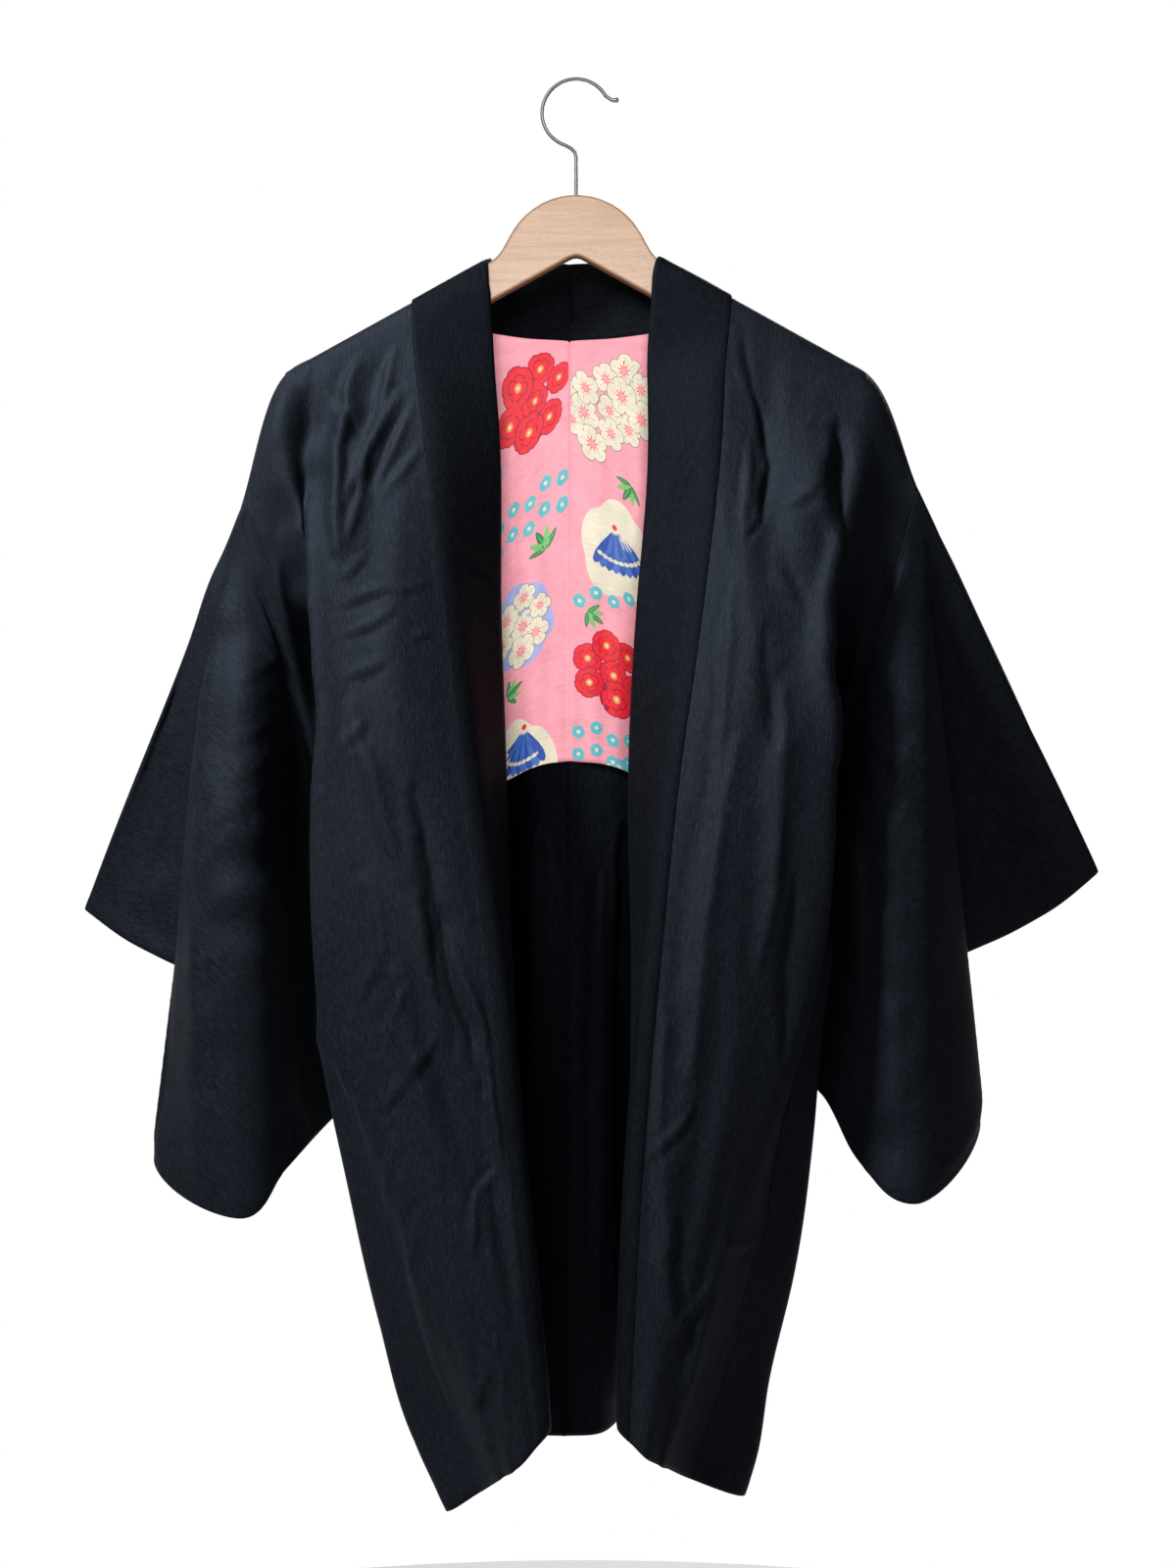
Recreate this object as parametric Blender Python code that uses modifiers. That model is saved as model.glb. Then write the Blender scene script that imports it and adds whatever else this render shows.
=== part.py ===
"""Haori jacket on a wooden hanger.

A haori is cut flat from narrow lengths of cloth: two body lengths that run from the front hem over
the shoulder to the back hem, two side gussets, two bag sleeves, one long double collar band and a
printed back lining. It hangs by a wire hook whose inner top is the origin. Metres, +Z up, the front
of the jacket faces -Y. "right" and "left" are the wearer's, so the right half lies at -X.

Each seam or fold line of a half is a short table. Its share says how far down the half a row lies,
from the shoulder (0) to the hem (1), and out, back and down are distances from the origin.
"""

from math import atan2, cos, degrees, hypot, pi, radians, sin, sqrt, tan

import bpy
import numpy as np

# Cloth
WALL = 0.0015  # crepe with its inner facing
LINING_WALL = 0.0010
COLLAR_WALL = 0.0028  # the band is folded double
SEAM_GAP = 0.0004
UNDERARM_CLEAR = 0.0046  # the gusset's top stands this far inside the sleeve's open edge
UNDERARM_TRIM = 0.0020  # what the gusset's own edges lose beside it
UNDERARM_FROM, UNDERARM_FULL = 0.25, 0.35  # shares over which that distance grows
TOP_CLEAR = 0.0008  # distance of the body's edge from the sleeve's at the shoulder point
TOP_CLEAR_END = 0.04  # share where it has gone
BACK_CLEAR = 1.5  # the back's edge stands this many times as far off as the front's
LEAD = 0.010  # cloth that leaves an armhole straight
LEAD_FULL, LEAD_FADE = 0.06, 0.10  # share where it has its whole length, and the shares that end it
CLOSEST = 0.002  # control points nearer than this to each other count as one
CURVE_STEPS = 14  # points worked out between two control points

# Cut of the jacket
ARMHOLE = 0.250  # sewn length of the sleeve's inner edge
ARMHOLE_SHARE = 0.35  # the same length as a share of the body's side edge
SEAMS_FROM = 0.40  # share where the gusset's seams hang clear of the armhole
SLEEVE_WIDTH = 0.332
SLEEVE_DROP = 0.420
SLEEVE_CORNER = 0.110  # radius of the outer bottom corner
CUFF_OPENING = 0.230
COLLAR_WIDTH = 0.055
BAND_RIDGE = 0.006  # cloth in half of the band's turn beside its seam
NECK_SHARE = 0.07  # where the neckline reaches the centre-back seam
LINING_TOP = 0.03
LINING_BOTTOM = 0.43
LINING_COLUMNS = 11  # of the back panel's columns
LINING_GAP = 0.0005
LINING_NECK_TRIM, LINING_CENTRE_TRIM = 0.24, 0.05  # shares of the first column that it leaves bare

# Sleeve bag
LAYERS = 0.0024  # half the distance between the two layers where they lie together
MOUTH = 0.0080  # and where the armhole and the cuff stand open
MOUTH_REACH = 0.10
MOUTH_START = 0.05  # distance down a mouth over which it opens
ARMHOLE_CLOSE = 0.03  # distance over which the armhole closes below its sewn length
CUFF_OPEN_SHARE = 0.55  # of the cuff's opening that stands open
TIP_REACH = 0.003  # the layers part within this distance of the shoulder point
SLEEVE_STEP = 0.002  # step over which a layer's direction is measured
INWARD_STEP = 0.004
START_SHARE = 0.12  # of the armhole rows' starts that is even, the rest gathers at the bottom
START_GATHER = 6
FOLDS_START, FOLDS_FULL = 0.03, 0.14  # distances from the shoulder point over which its folds form

# Collar band
BAND_STANDS, BAND_FLATTENS = 0.012, 0.08  # share to which it stands up round the neck, and what turns it flat
BAND_LAP = 0.1  # share of its wall that it starts inside the seam

# Fronts
PANEL_SHARE = 0.7  # of the way from the collar's seam to the corner fold
FOLD_FADES = (0.08, 0.2, 0.05)  # shares over which a pressed fold fades: inner edge, outer edge, shoulder

# Hanger
WOOD_THICK = 0.012
WOOD_ROUND = 0.002
ARM_SLOPE = 0.555
ARM_TOP = 0.1255  # depth of an arm's top edge where it leaves the head
HEAD_OUT = 0.055
HEAD_TOP = 0.0814
HEAD_RADIUS = 0.052
HEAD_ARC_OUT = 0.046
ARM_END = 0.2035
ARM_UNDER = 0.1228  # depth of the notch under the head
ARM_HIGH = 0.030
ARM_CLEAR = 0.0105  # cloth this far from the middle plane passes beside an arm
ARM_CROWN = 0.5  # fall of the cloth beside the arm's middle, as a share of ARM_CLEAR
CLOTH_ABOVE_ARM = 0.0016
BAND_ABOVE_ARM = 0.0028
HEAD_POINTS = 8  # of the head's arc
HEAD_FILLET = ((-0.003, -0.005), (0.002, 0.00111))  # out and down from the corner of head and arm
ARM_ROUND_SHARE = 0.82  # of half the arm's height
ARM_ROUND_LIFT = 0.006
ARM_ROUND = (-60, 120, 9)  # from and to in degrees, and points

# Hook
WIRE = 0.0026
HOOK_RADIUS = 0.0240
HOOK_ROUND = (252, 25, -9)  # degrees from its bend to its tip
SEAT = 0.0003  # the shank starts this far above the wood

SIDES = {"right": -1, "left": 1}


def table(columns, *rows):
    """Named columns of a table of rows."""
    return dict(zip(columns.split(), np.array(rows, float).T))


# Where the front meets the collar, over the shoulder and down to the hem
COLLAR_SEAM = {
    "right": table(
        "share out back down",
        (0.000, 0.1140, 0.000, 0.1570),
        (0.012, 0.1138, -0.0090, 0.1630),
        (0.040, 0.1125, -0.014, 0.187),
        (0.120, 0.1040, -0.028, 0.257),
        (0.240, 0.0940, -0.042, 0.349),
        (0.420, 0.0770, -0.058, 0.488),
        (0.620, 0.0555, -0.072, 0.638),
        (0.810, 0.0400, -0.085, 0.784),
        (1.000, 0.0230, -0.100, 0.929),
    ),
    "left": table(
        "share out back down",
        (0.000, 0.1080, 0.000, 0.1545),
        (0.012, 0.1075, -0.0090, 0.1605),
        (0.040, 0.1045, -0.014, 0.188),
        (0.140, 0.0990, -0.030, 0.268),
        (0.270, 0.0870, -0.045, 0.371),
        (0.440, 0.0690, -0.060, 0.497),
        (0.590, 0.0567, -0.072, 0.612),
        (0.770, 0.0440, -0.086, 0.752),
        (1.000, 0.0345, -0.100, 0.9275),
    ),
}

# The fold that hangs from the hanger's end, where the front turns back to the armhole
CORNER_FOLD = {
    "right": table(
        "share out back down",
        (0.000, 0.2060, 0.000, 0.2090),
        (0.012, 0.2070, -0.0085, 0.2160),
        (0.050, 0.2050, -0.017, 0.245),
        (0.130, 0.1960, -0.029, 0.300),
        (0.250, 0.1840, -0.042, 0.392),
        (0.370, 0.1800, -0.047, 0.480),
        (0.500, 0.1780, -0.047, 0.572),
        (0.620, 0.1700, -0.043, 0.655),
        (0.750, 0.1320, -0.050, 0.750),
        (0.880, 0.0900, -0.062, 0.860),
        (1.000, 0.0500, -0.074, 0.958),
    ),
    "left": table(
        "share out back down",
        (0.000, 0.2085, 0.000, 0.2104),
        (0.012, 0.2080, -0.0085, 0.2170),
        (0.050, 0.2010, -0.018, 0.250),
        (0.130, 0.1890, -0.030, 0.308),
        (0.250, 0.1800, -0.042, 0.392),
        (0.370, 0.1765, -0.047, 0.478),
        (0.500, 0.1720, -0.046, 0.566),
        (0.620, 0.1560, -0.045, 0.650),
        (0.750, 0.1250, -0.052, 0.745),
        (0.880, 0.0930, -0.062, 0.850),
        (1.000, 0.0600, -0.074, 0.950),
    ),
}

# Seams of the side gusset below the armhole, and the fold down its middle
FRONT_SIDE_SEAM = {
    "right": table(
        "share out back down",
        (SEAMS_FROM, 0.1670, 0.006, 0.575),
        (0.500, 0.1770, -0.020, 0.620),
        (0.620, 0.1780, -0.031, 0.668),
        (0.680, 0.1619, -0.030, 0.7009),
        (0.770, 0.1417, -0.035, 0.7675),
        (0.880, 0.1103, -0.040, 0.8637),
        (0.965, 0.0765, -0.045, 0.9471),
        (1.000, 0.0662, -0.050, 0.9767),
    ),
    "left": table(
        "share out back down",
        (SEAMS_FROM, 0.1680, -0.006, 0.558),
        (0.500, 0.1690, -0.028, 0.613),
        (0.620, 0.1560, -0.030, 0.678),
        (0.690, 0.1411, -0.032, 0.731),
        (0.820, 0.1212, -0.037, 0.8342),
        (0.900, 0.1000, -0.042, 0.9013),
        (0.960, 0.0837, -0.046, 0.9468),
        (1.000, 0.0775, -0.050, 0.9667),
    ),
}
GUSSET_FOLD = {
    "right": table(
        "share out back down",
        (SEAMS_FROM, 0.1660, 0.016, 0.577),
        (0.500, 0.1770, 0.000, 0.618),
        (0.620, 0.1790, -0.012, 0.670),
        (0.680, 0.1746, -0.010, 0.7039),
        (0.770, 0.1596, -0.015, 0.7715),
        (0.880, 0.1366, -0.020, 0.8691),
        (0.950, 0.1164, -0.025, 0.9382),
        (1.000, 0.0886, -0.035, 0.9942),
    ),
    "left": table(
        "share out back down",
        (SEAMS_FROM, 0.1690, 0.006, 0.557),
        (0.500, 0.1785, -0.008, 0.611),
        (0.620, 0.1700, -0.011, 0.680),
        (0.690, 0.1650, -0.013, 0.735),
        (0.820, 0.1500, -0.019, 0.838),
        (0.900, 0.1323, -0.025, 0.908),
        (0.960, 0.1240, -0.031, 0.956),
        (1.000, 0.1153, -0.035, 0.9834),
    ),
}
BACK_SIDE_SEAM = {
    "right": table(
        "share out back down",
        (SEAMS_FROM, 0.1560, 0.026, 0.578),
        (0.500, 0.1700, 0.018, 0.618),
        (0.620, 0.1730, 0.006, 0.670),
        (0.770, 0.1520, 0.002, 0.770),
        (0.880, 0.1290, -0.001, 0.866),
        (1.000, 0.0850, -0.003, 0.986),
    ),
    "left": table(
        "share out back down",
        (SEAMS_FROM, 0.1580, 0.020, 0.560),
        (0.500, 0.1730, 0.012, 0.611),
        (0.620, 0.1680, 0.006, 0.680),
        (0.770, 0.1520, 0.003, 0.797),
        (0.880, 0.1330, 0.001, 0.884),
        (1.000, 0.1100, -0.001, 0.976),
    ),
}

# The back: the neckline and centre seam, then the shelf, peak and flank of the deep fold of each half
NECK_AND_CENTRE = {
    "right": table(
        "share out back down",
        (0.000, 0.1140, 0.000, 0.1570),
        (0.012, 0.1020, 0.012, 0.1620),
        (0.030, 0.0740, 0.023, 0.1700),
        (0.050, 0.0380, 0.029, 0.1755),
        (0.070, 0.0050, 0.031, 0.1775),
        (0.300, 0.0048, 0.038, 0.3700),
        (0.550, 0.0060, 0.040, 0.5800),
        (0.800, 0.0076, 0.030, 0.7900),
        (1.000, 0.0085, 0.012, 0.9580),
    ),
    "left": table(
        "share out back down",
        (0.000, 0.1080, 0.000, 0.1545),
        (0.012, 0.1010, 0.012, 0.1605),
        (0.030, 0.0690, 0.023, 0.1700),
        (0.050, 0.0280, 0.029, 0.1755),
        (0.070, -0.0050, 0.031, 0.1775),
        (0.300, -0.0048, 0.038, 0.3700),
        (0.550, -0.0060, 0.040, 0.5800),
        (0.800, -0.0076, 0.030, 0.7900),
        (1.000, -0.0085, 0.012, 0.9580),
    ),
}
BACK_SHELF = {
    "right": table(
        "share out back down",
        (0.000, 0.1400, 0.000, 0.1715),
        (0.012, 0.1330, 0.0090, 0.1760),
        (0.070, 0.0520, 0.028, 0.196),
        (0.300, 0.0300, 0.044, 0.376),
        (0.550, 0.0270, 0.047, 0.583),
        (0.800, 0.0290, 0.040, 0.791),
        (1.000, 0.0310, 0.020, 0.959),
    ),
    "left": table(
        "share out back down",
        (0.000, 0.1400, 0.000, 0.1722),
        (0.012, 0.1330, 0.0090, 0.1762),
        (0.070, 0.0480, 0.028, 0.196),
        (0.300, 0.0300, 0.044, 0.376),
        (0.550, 0.0230, 0.048, 0.583),
        (0.800, 0.0180, 0.038, 0.790),
        (1.000, 0.0170, 0.018, 0.958),
    ),
}
BACK_PEAK = {
    "right": table(
        "share out back down",
        (0.000, 0.1740, 0.000, 0.1904),
        (0.012, 0.1700, 0.0090, 0.1960),
        (0.070, 0.1100, 0.026, 0.226),
        (0.300, 0.0800, 0.054, 0.410),
        (0.500, 0.0700, 0.075, 0.560),
        (0.700, 0.0600, 0.093, 0.724),
        (0.850, 0.0550, 0.104, 0.850),
        (1.000, 0.0540, 0.112, 0.965),
    ),
    "left": table(
        "share out back down",
        (0.000, 0.1740, 0.000, 0.1911),
        (0.012, 0.1700, 0.0090, 0.1965),
        (0.070, 0.1080, 0.026, 0.226),
        (0.300, 0.0800, 0.056, 0.410),
        (0.500, 0.0720, 0.078, 0.560),
        (0.700, 0.0640, 0.098, 0.720),
        (0.850, 0.0600, 0.112, 0.845),
        (1.000, 0.0580, 0.122, 0.955),
    ),
}
BACK_FLANK = {
    "right": table(
        "share out back down",
        (0.000, 0.2060, 0.000, 0.2090),
        (0.012, 0.2060, 0.0085, 0.2160),
        (0.070, 0.1800, 0.020, 0.257),
        (0.300, 0.1400, 0.046, 0.450),
        (0.500, 0.1240, 0.044, 0.590),
        (0.700, 0.1080, 0.040, 0.735),
        (0.850, 0.0940, 0.044, 0.860),
        (1.000, 0.0830, 0.048, 0.977),
    ),
    "left": table(
        "share out back down",
        (0.000, 0.2085, 0.000, 0.2104),
        (0.012, 0.2075, 0.0085, 0.2170),
        (0.070, 0.1800, 0.020, 0.257),
        (0.300, 0.1400, 0.046, 0.446),
        (0.500, 0.1260, 0.044, 0.586),
        (0.700, 0.1140, 0.040, 0.736),
        (0.850, 0.1040, 0.044, 0.856),
        (1.000, 0.0960, 0.048, 0.968),
    ),
}

# How the collar band stands from its seam, in degrees: turn swings its free edge backwards, rise lifts it
BAND_FRONT = {
    "right": table(
        "share turn rise",
        (0.000, -8, 22),
        (0.012, -2, 13),
        (0.040, 6, 4),
        (0.120, 22, 0),
        (0.240, 42, -2),
        (0.420, 61, -4),
        (0.620, 78, -6),
        (0.810, 84, -8),
        (1.000, 84, -10),
    ),
    "left": table(
        "share turn rise",
        (0.000, -8, 22),
        (0.012, -2, 13),
        (0.040, 6, 4),
        (0.140, 18, 0),
        (0.270, 26, -2),
        (0.440, 48, -4),
        (0.590, 70, -6),
        (0.770, 84, -8),
        (1.000, 88, -10),
    ),
}
BAND_BACK = table(
    "share turn rise",
    (0.000, -8, 22),
    (0.012, -10, 38),
    (0.030, -14, 60),
    (0.050, -30, 78),
    (0.070, -60, 86),
)

# Rays of a sleeve from the shoulder point: turn is measured on the flat sleeve from its top fold, lean
# swings the ray outwards from straight down, swing backwards, and reach is its length to the edge
SLEEVE_RAYS = {
    "right": table(
        "share lean swing reach",
        (0, 25.2, 19.2, 0.332),
        (15, 9.6, 14.2, 0.343),
        (30, -6.5, 12.6, 0.405),
        (44, 8.7, 6.2, 0.472),
        (54, -0.4, -2.3, 0.495),
        (64, -4.0, 0.0, 0.463),
        (74, -7.8, 5.0, 0.440),
        (82, -11.5, 9.6, 0.428),
        (90, -16.0, 11.0, 0.420),
    ),
    "left": table(
        "share lean swing reach",
        (0, 29.2, 20.0, 0.330),
        (20, 7.6, 14.0, 0.350),
        (34, -6.5, 12.6, 0.402),
        (46, 6.8, 6.4, 0.458),
        (54, -0.3, -1.0, 0.503),
        (64, -4.6, 0.8, 0.478),
        (74, -8.0, 5.0, 0.440),
        (82, -12.0, 9.6, 0.428),
        (90, -16.0, 11.0, 0.420),
    ),
}
SHOULDER_POINT = {"right": (0.2360, 0.0, 0.3020), "left": (0.2394, 0.0, 0.2860)}

# Soft folds pressed into the fronts: from and to are (across, down) shares, depth is towards the back
FRONT_FOLDS = {
    "right": table(
        "from_across from_down to_across to_down width depth",
        (0.10, 0.02, 0.30, 0.30, 0.10, 0.004),
        (0.46, 0.20, 0.18, 0.36, 0.10, 0.004),
        (0.40, 0.62, 0.16, 0.80, 0.10, 0.005),
        (0.22, 0.66, 0.05, 0.88, 0.08, 0.004),
        (0.60, 0.88, 0.30, 0.98, 0.12, -0.005),
        (0.30, 0.86, 0.55, 1.02, 0.10, 0.005),
    ),
    "left": table(
        "from_across from_down to_across to_down width depth",
        (0.14, 0.01, 0.28, 0.30, 0.10, 0.005),
        (0.34, 0.04, 0.40, 0.24, 0.10, -0.004),
        (0.44, 0.16, 0.20, 0.40, 0.10, 0.004),
        (0.36, 0.60, 0.22, 0.90, 0.12, 0.004),
        (0.62, 0.80, 0.42, 1.02, 0.12, -0.005),
    ),
}

# The hook's shank and bend, and its tip with the swell of its end
HOOK_SHANK = table(
    "out down",
    (0.0000, 0.0660),
    (0.0000, 0.0540),
    (-0.0008, 0.0505),
    (-0.0034, 0.0478),
)
HOOK_TIP = table(
    "out down swell",
    (0.0232, 0.0124, 1.00),
    (0.0252, 0.0136, 1.00),
    (0.0275, 0.0138, 1.25),
    (0.0288, 0.0136, 1.45),
    (0.0298, 0.0134, 1.10),
)

# Rows and columns of the cloth grids
BODY_ROWS = (0.004, 0.008, 0.012, 0.02, 0.03, 0.04, 0.05, 0.06, 0.07, 0.105, 0.15, 0.20, 0.25, 0.30)
BODY_ROWS += (0.35, 0.355, 0.37, 0.39) + tuple(np.linspace(0.43, 1.0, 11))
BODY_COLUMNS = 15
GUSSET_COLUMNS = 6
SLEEVE_ALONG = (0, 0.08, 0.17, 0.28, 0.42, 0.56, 0.70, 0.85, 1)
SLEEVE_ROWS = 22
COLLAR_COLUMNS = 5


def read(line, column, at):
    """A column's value at a share: a cubic through the rows that never passes beyond them."""
    x, y = line["share"], line[column]
    at = min(max(at, x[0]), x[-1])
    step = np.diff(x)
    rise = np.diff(y) / step
    mean = (rise[:-1] * step[1:] + rise[1:] * step[:-1]) / (step[1:] + step[:-1])
    limit = 2 * np.minimum(abs(rise[:-1]), abs(rise[1:]))
    inner = np.where(rise[:-1] * rise[1:] > 0, np.sign(mean) * np.minimum(abs(mean), limit), 0)
    slope = np.concatenate([rise[:1], inner, rise[-1:]])
    i = min(int(np.searchsorted(x, at, side="right")) - 1, len(step) - 1)
    t = (at - x[i]) / step[i]
    start = (1 + 2 * t) * (1 - t) ** 2 * y[i] + t * (1 - t) ** 2 * step[i] * slope[i]
    end = t * t * (3 - 2 * t) * y[i + 1] - t * t * (1 - t) * step[i] * slope[i + 1]
    return float(start + end)


def place(line, half, share):
    """The point of a line of one half at a share of its drop."""
    out, back, down = (read(line[half], column, share) for column in ("out", "back", "down"))
    return np.array([SIDES[half] * out, back, -down])


def ease(t):
    """0 to 1, level at both ends."""
    t = min(max(t, 0.0), 1.0)
    return t * t * (3 - 2 * t)


def unit(vector):
    return vector / np.linalg.norm(vector)


def over_arm(point, above=CLOTH_ABOVE_ARM):
    """A point of cloth lifted clear of the hanger's arm where it crosses above it."""
    x, y, z = point
    top = -ARM_TOP - ARM_SLOPE * (abs(x) - HEAD_OUT) + above
    if abs(y) >= ARM_CLEAR or abs(x) > ARM_END or z < top - ARM_HIGH:
        return point
    return np.array([x, y, max(z, top - ARM_CROWN * ARM_CLEAR * (abs(y) / ARM_CLEAR) ** 3)])


def smooth_row(controls, count, start_trim=0.0, end_trim=0.0, before=None, after=None):
    """count points evenly spaced along a smooth curve through control points.

    before and after are points of the neighbouring pieces, so that a seam runs on without a corner.
    """
    kept = [controls[0]]
    for control in controls[1:-1]:
        if min(np.linalg.norm(control - other) for other in (kept[-1], controls[-1])) > CLOSEST:
            kept.append(control)
    kept = np.array(kept + [controls[-1]])
    first = 2 * kept[0] - kept[1] if before is None else before
    last = 2 * kept[-1] - kept[-2] if after is None else after
    padded = np.vstack([first, kept, last])
    knots = np.concatenate([[0], np.cumsum(np.linalg.norm(np.diff(padded, axis=0), axis=1) ** 0.5)])
    dense = []
    for i in range(1, len(padded) - 2):
        for t in np.linspace(knots[i], knots[i + 1], CURVE_STEPS, endpoint=False):
            dense.append(centripetal(padded[i - 1 : i + 3], knots[i - 1 : i + 3], t))
    dense.append(kept[-1])
    dense = np.array(dense)
    length = np.concatenate([[0], np.cumsum(np.linalg.norm(np.diff(dense, axis=0), axis=1))])
    at = np.linspace(start_trim, length[-1] - end_trim, count)
    return np.array([np.interp(at, length, dense[:, axis]) for axis in range(3)]).T


def centripetal(points, knots, t):
    """Catmull-Rom point between the middle two of four points."""

    def mix(first, second, i, j):
        return ((knots[j] - t) * first + (t - knots[i]) * second) / (knots[j] - knots[i])

    ends = [mix(points[i], points[i + 1], i, i + 1) for i in range(3)]
    return mix(mix(ends[0], ends[1], 0, 2), mix(ends[1], ends[2], 1, 3), 1, 2)


# Sleeve: a flat bag bent into a cone whose point is the end of the shoulder


def flat_reach(turn):
    """Distance on the flat sleeve from the shoulder point to its outline, at a turn in radians."""
    straight = min(SLEEVE_WIDTH / max(cos(turn), 1e-6), SLEEVE_DROP / max(sin(turn), 1e-6))
    centre = (SLEEVE_WIDTH - SLEEVE_CORNER, SLEEVE_DROP - SLEEVE_CORNER)
    along = centre[0] * cos(turn) + centre[1] * sin(turn)
    beside = centre[0] * sin(turn) - centre[1] * cos(turn)
    if abs(beside) >= SLEEVE_CORNER:
        return straight
    on_arc = along + sqrt(SLEEVE_CORNER**2 - beside**2)
    tip = (on_arc * cos(turn), on_arc * sin(turn))
    return on_arc if tip[0] > centre[0] and tip[1] > centre[1] else straight


def ray(half, lean, swing):
    """Unit vector that leans outwards and swings backwards from straight down, in degrees."""
    return unit(np.array([SIDES[half] * tan(radians(lean)), tan(radians(swing)), -1.0]))


def sleeve_middle(half, across, down):
    """Point midway between a sleeve's layers, from its place on the flat sleeve."""
    out, back, depth = SHOULDER_POINT[half]
    origin = np.array([SIDES[half] * out, back, -depth])
    distance = hypot(across, down)
    if distance < 1e-6:
        return origin
    rays, turn = SLEEVE_RAYS[half], atan2(down, across)
    share = degrees(turn)
    folded = ray(half, read(rays, "lean", share), read(rays, "swing", share))
    mix = share / 90
    plain = ray(
        half,
        rays["lean"][0] * (1 - mix) + rays["lean"][-1] * mix,
        rays["swing"][0] * (1 - mix) + rays["swing"][-1] * mix,
    )
    formed = ease((distance - FOLDS_START) / (FOLDS_FULL - FOLDS_START))
    toward = unit(plain * (1 - formed) + folded * formed)
    return origin + toward * read(rays, "reach", share) * distance / flat_reach(turn)


def sleeve_layer(half, across, down, side):
    """Point of a sleeve's front (-1) or back (1) layer."""
    near, far = max(across - SLEEVE_STEP, 0.0), across + SLEEVE_STEP
    high, low = max(down - SLEEVE_STEP, 0.0), down + SLEEVE_STEP
    along = sleeve_middle(half, far, down) - sleeve_middle(half, near, down)
    below = sleeve_middle(half, across, low) - sleeve_middle(half, across, high)
    normal = unit(np.cross(along, below)) * SIDES[half]
    start = ease(down / MOUTH_START)
    armhole = ease(1 - across / MOUTH_REACH) * start * ease(1 - (down - ARMHOLE) / ARMHOLE_CLOSE)
    cuff = ease((across - SLEEVE_WIDTH + MOUTH_REACH) / MOUTH_REACH) * start
    cuff *= ease((CUFF_OPEN_SHARE * CUFF_OPENING - down) / MOUTH_START)
    gap = (LAYERS + (MOUTH - LAYERS) * max(armhole, cuff)) * ease(hypot(across, down) / TIP_REACH)
    return sleeve_middle(half, across, down) + side * gap * normal


def cuff_point(length):
    """Flat place on the sleeve's outer edge, a length down from its top and round the bottom corner."""
    straight = SLEEVE_DROP - SLEEVE_CORNER
    if length <= straight:
        return np.array([SLEEVE_WIDTH, length])
    turn = (length - straight) / SLEEVE_CORNER
    centre = np.array([SLEEVE_WIDTH - SLEEVE_CORNER, straight])
    return centre + SLEEVE_CORNER * np.array([cos(turn), sin(turn)])


def armhole_edge(half, share, side):
    """Point of the sleeve's armhole edge and the direction from it into the body."""
    down = ARMHOLE * min(share, ARMHOLE_SHARE) / ARMHOLE_SHARE
    point = sleeve_layer(half, 0.0, down, side)
    return point, unit(point - sleeve_layer(half, INWARD_STEP, down, side))


# Body


def below_armhole(share):
    """0 at the armhole's end, 1 where the side seams' own tables start; it leaves the armhole fast."""
    left = 1 - min(max((share - ARMHOLE_SHARE) / (SEAMS_FROM - ARMHOLE_SHARE), 0.0), 1.0)
    return 1 - left**2


def side_edge(half, share, seam, side):
    """Outer edge of a front (-1) or back (1) row, with the control point that leads into it."""
    armhole, inward = armhole_edge(half, share, side)
    lead = LEAD * ease(share / LEAD_FULL)
    under = ease((share - UNDERARM_FROM) / (UNDERARM_FULL - UNDERARM_FROM))
    clear = TOP_CLEAR * (1 - ease(share / TOP_CLEAR_END)) + UNDERARM_CLEAR * under
    clear *= BACK_CLEAR if side > 0 else 1
    armhole = armhole + inward * clear
    if share <= ARMHOLE_SHARE:
        return over_arm(armhole + inward * lead), armhole
    away = below_armhole(share)
    edge = armhole * (1 - away) + place(seam, half, share) * away
    return edge + inward * lead * (1 - ease((share - ARMHOLE_SHARE) / LEAD_FADE)), edge


def seam_trim(lead, edge, after):
    """What a wall loses at a seam where the cloth turns from one panel to the next."""
    turn = unit(edge - lead) @ unit(after - edge)
    return SEAM_GAP / 2 + WALL * sqrt(max(1 - turn, 0.0) / 2)


def gusset_fold(half, share):
    """The fold down the middle of the gusset, which starts midway between the armhole's two ends."""
    front = side_edge(half, share, FRONT_SIDE_SEAM, -1)[1]
    back = side_edge(half, share, BACK_SIDE_SEAM, 1)[1]
    away = below_armhole(share)
    top = (front + back) / 2 - [SIDES[half] * 2 * UNDERARM_CLEAR, 0, 0]
    return top * (1 - away) + place(GUSSET_FOLD, half, share) * away


def pressed(half, row, share, folds):
    """A front row with its soft folds pressed in."""
    across = np.linspace(0, 1, len(row))
    for i in range(len(folds["depth"])):
        start = np.array([folds["from_across"][i], folds["from_down"][i]])
        along = np.array([folds["to_across"][i], folds["to_down"][i]]) - start
        for column, place_across in enumerate(across):
            offset = np.array([place_across, share]) - start
            part = min(max(offset @ along / (along @ along), 0.0), 1.0)
            apart = np.linalg.norm(offset - part * along) / folds["width"][i]
            fade = ease(place_across / FOLD_FADES[0]) * ease((1 - place_across) / FOLD_FADES[1])
            fade *= ease(share / FOLD_FADES[2])
            row[column, 1] += folds["depth"][i] * ease(1 - apart) * sin(pi * part) * fade
    return row


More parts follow.
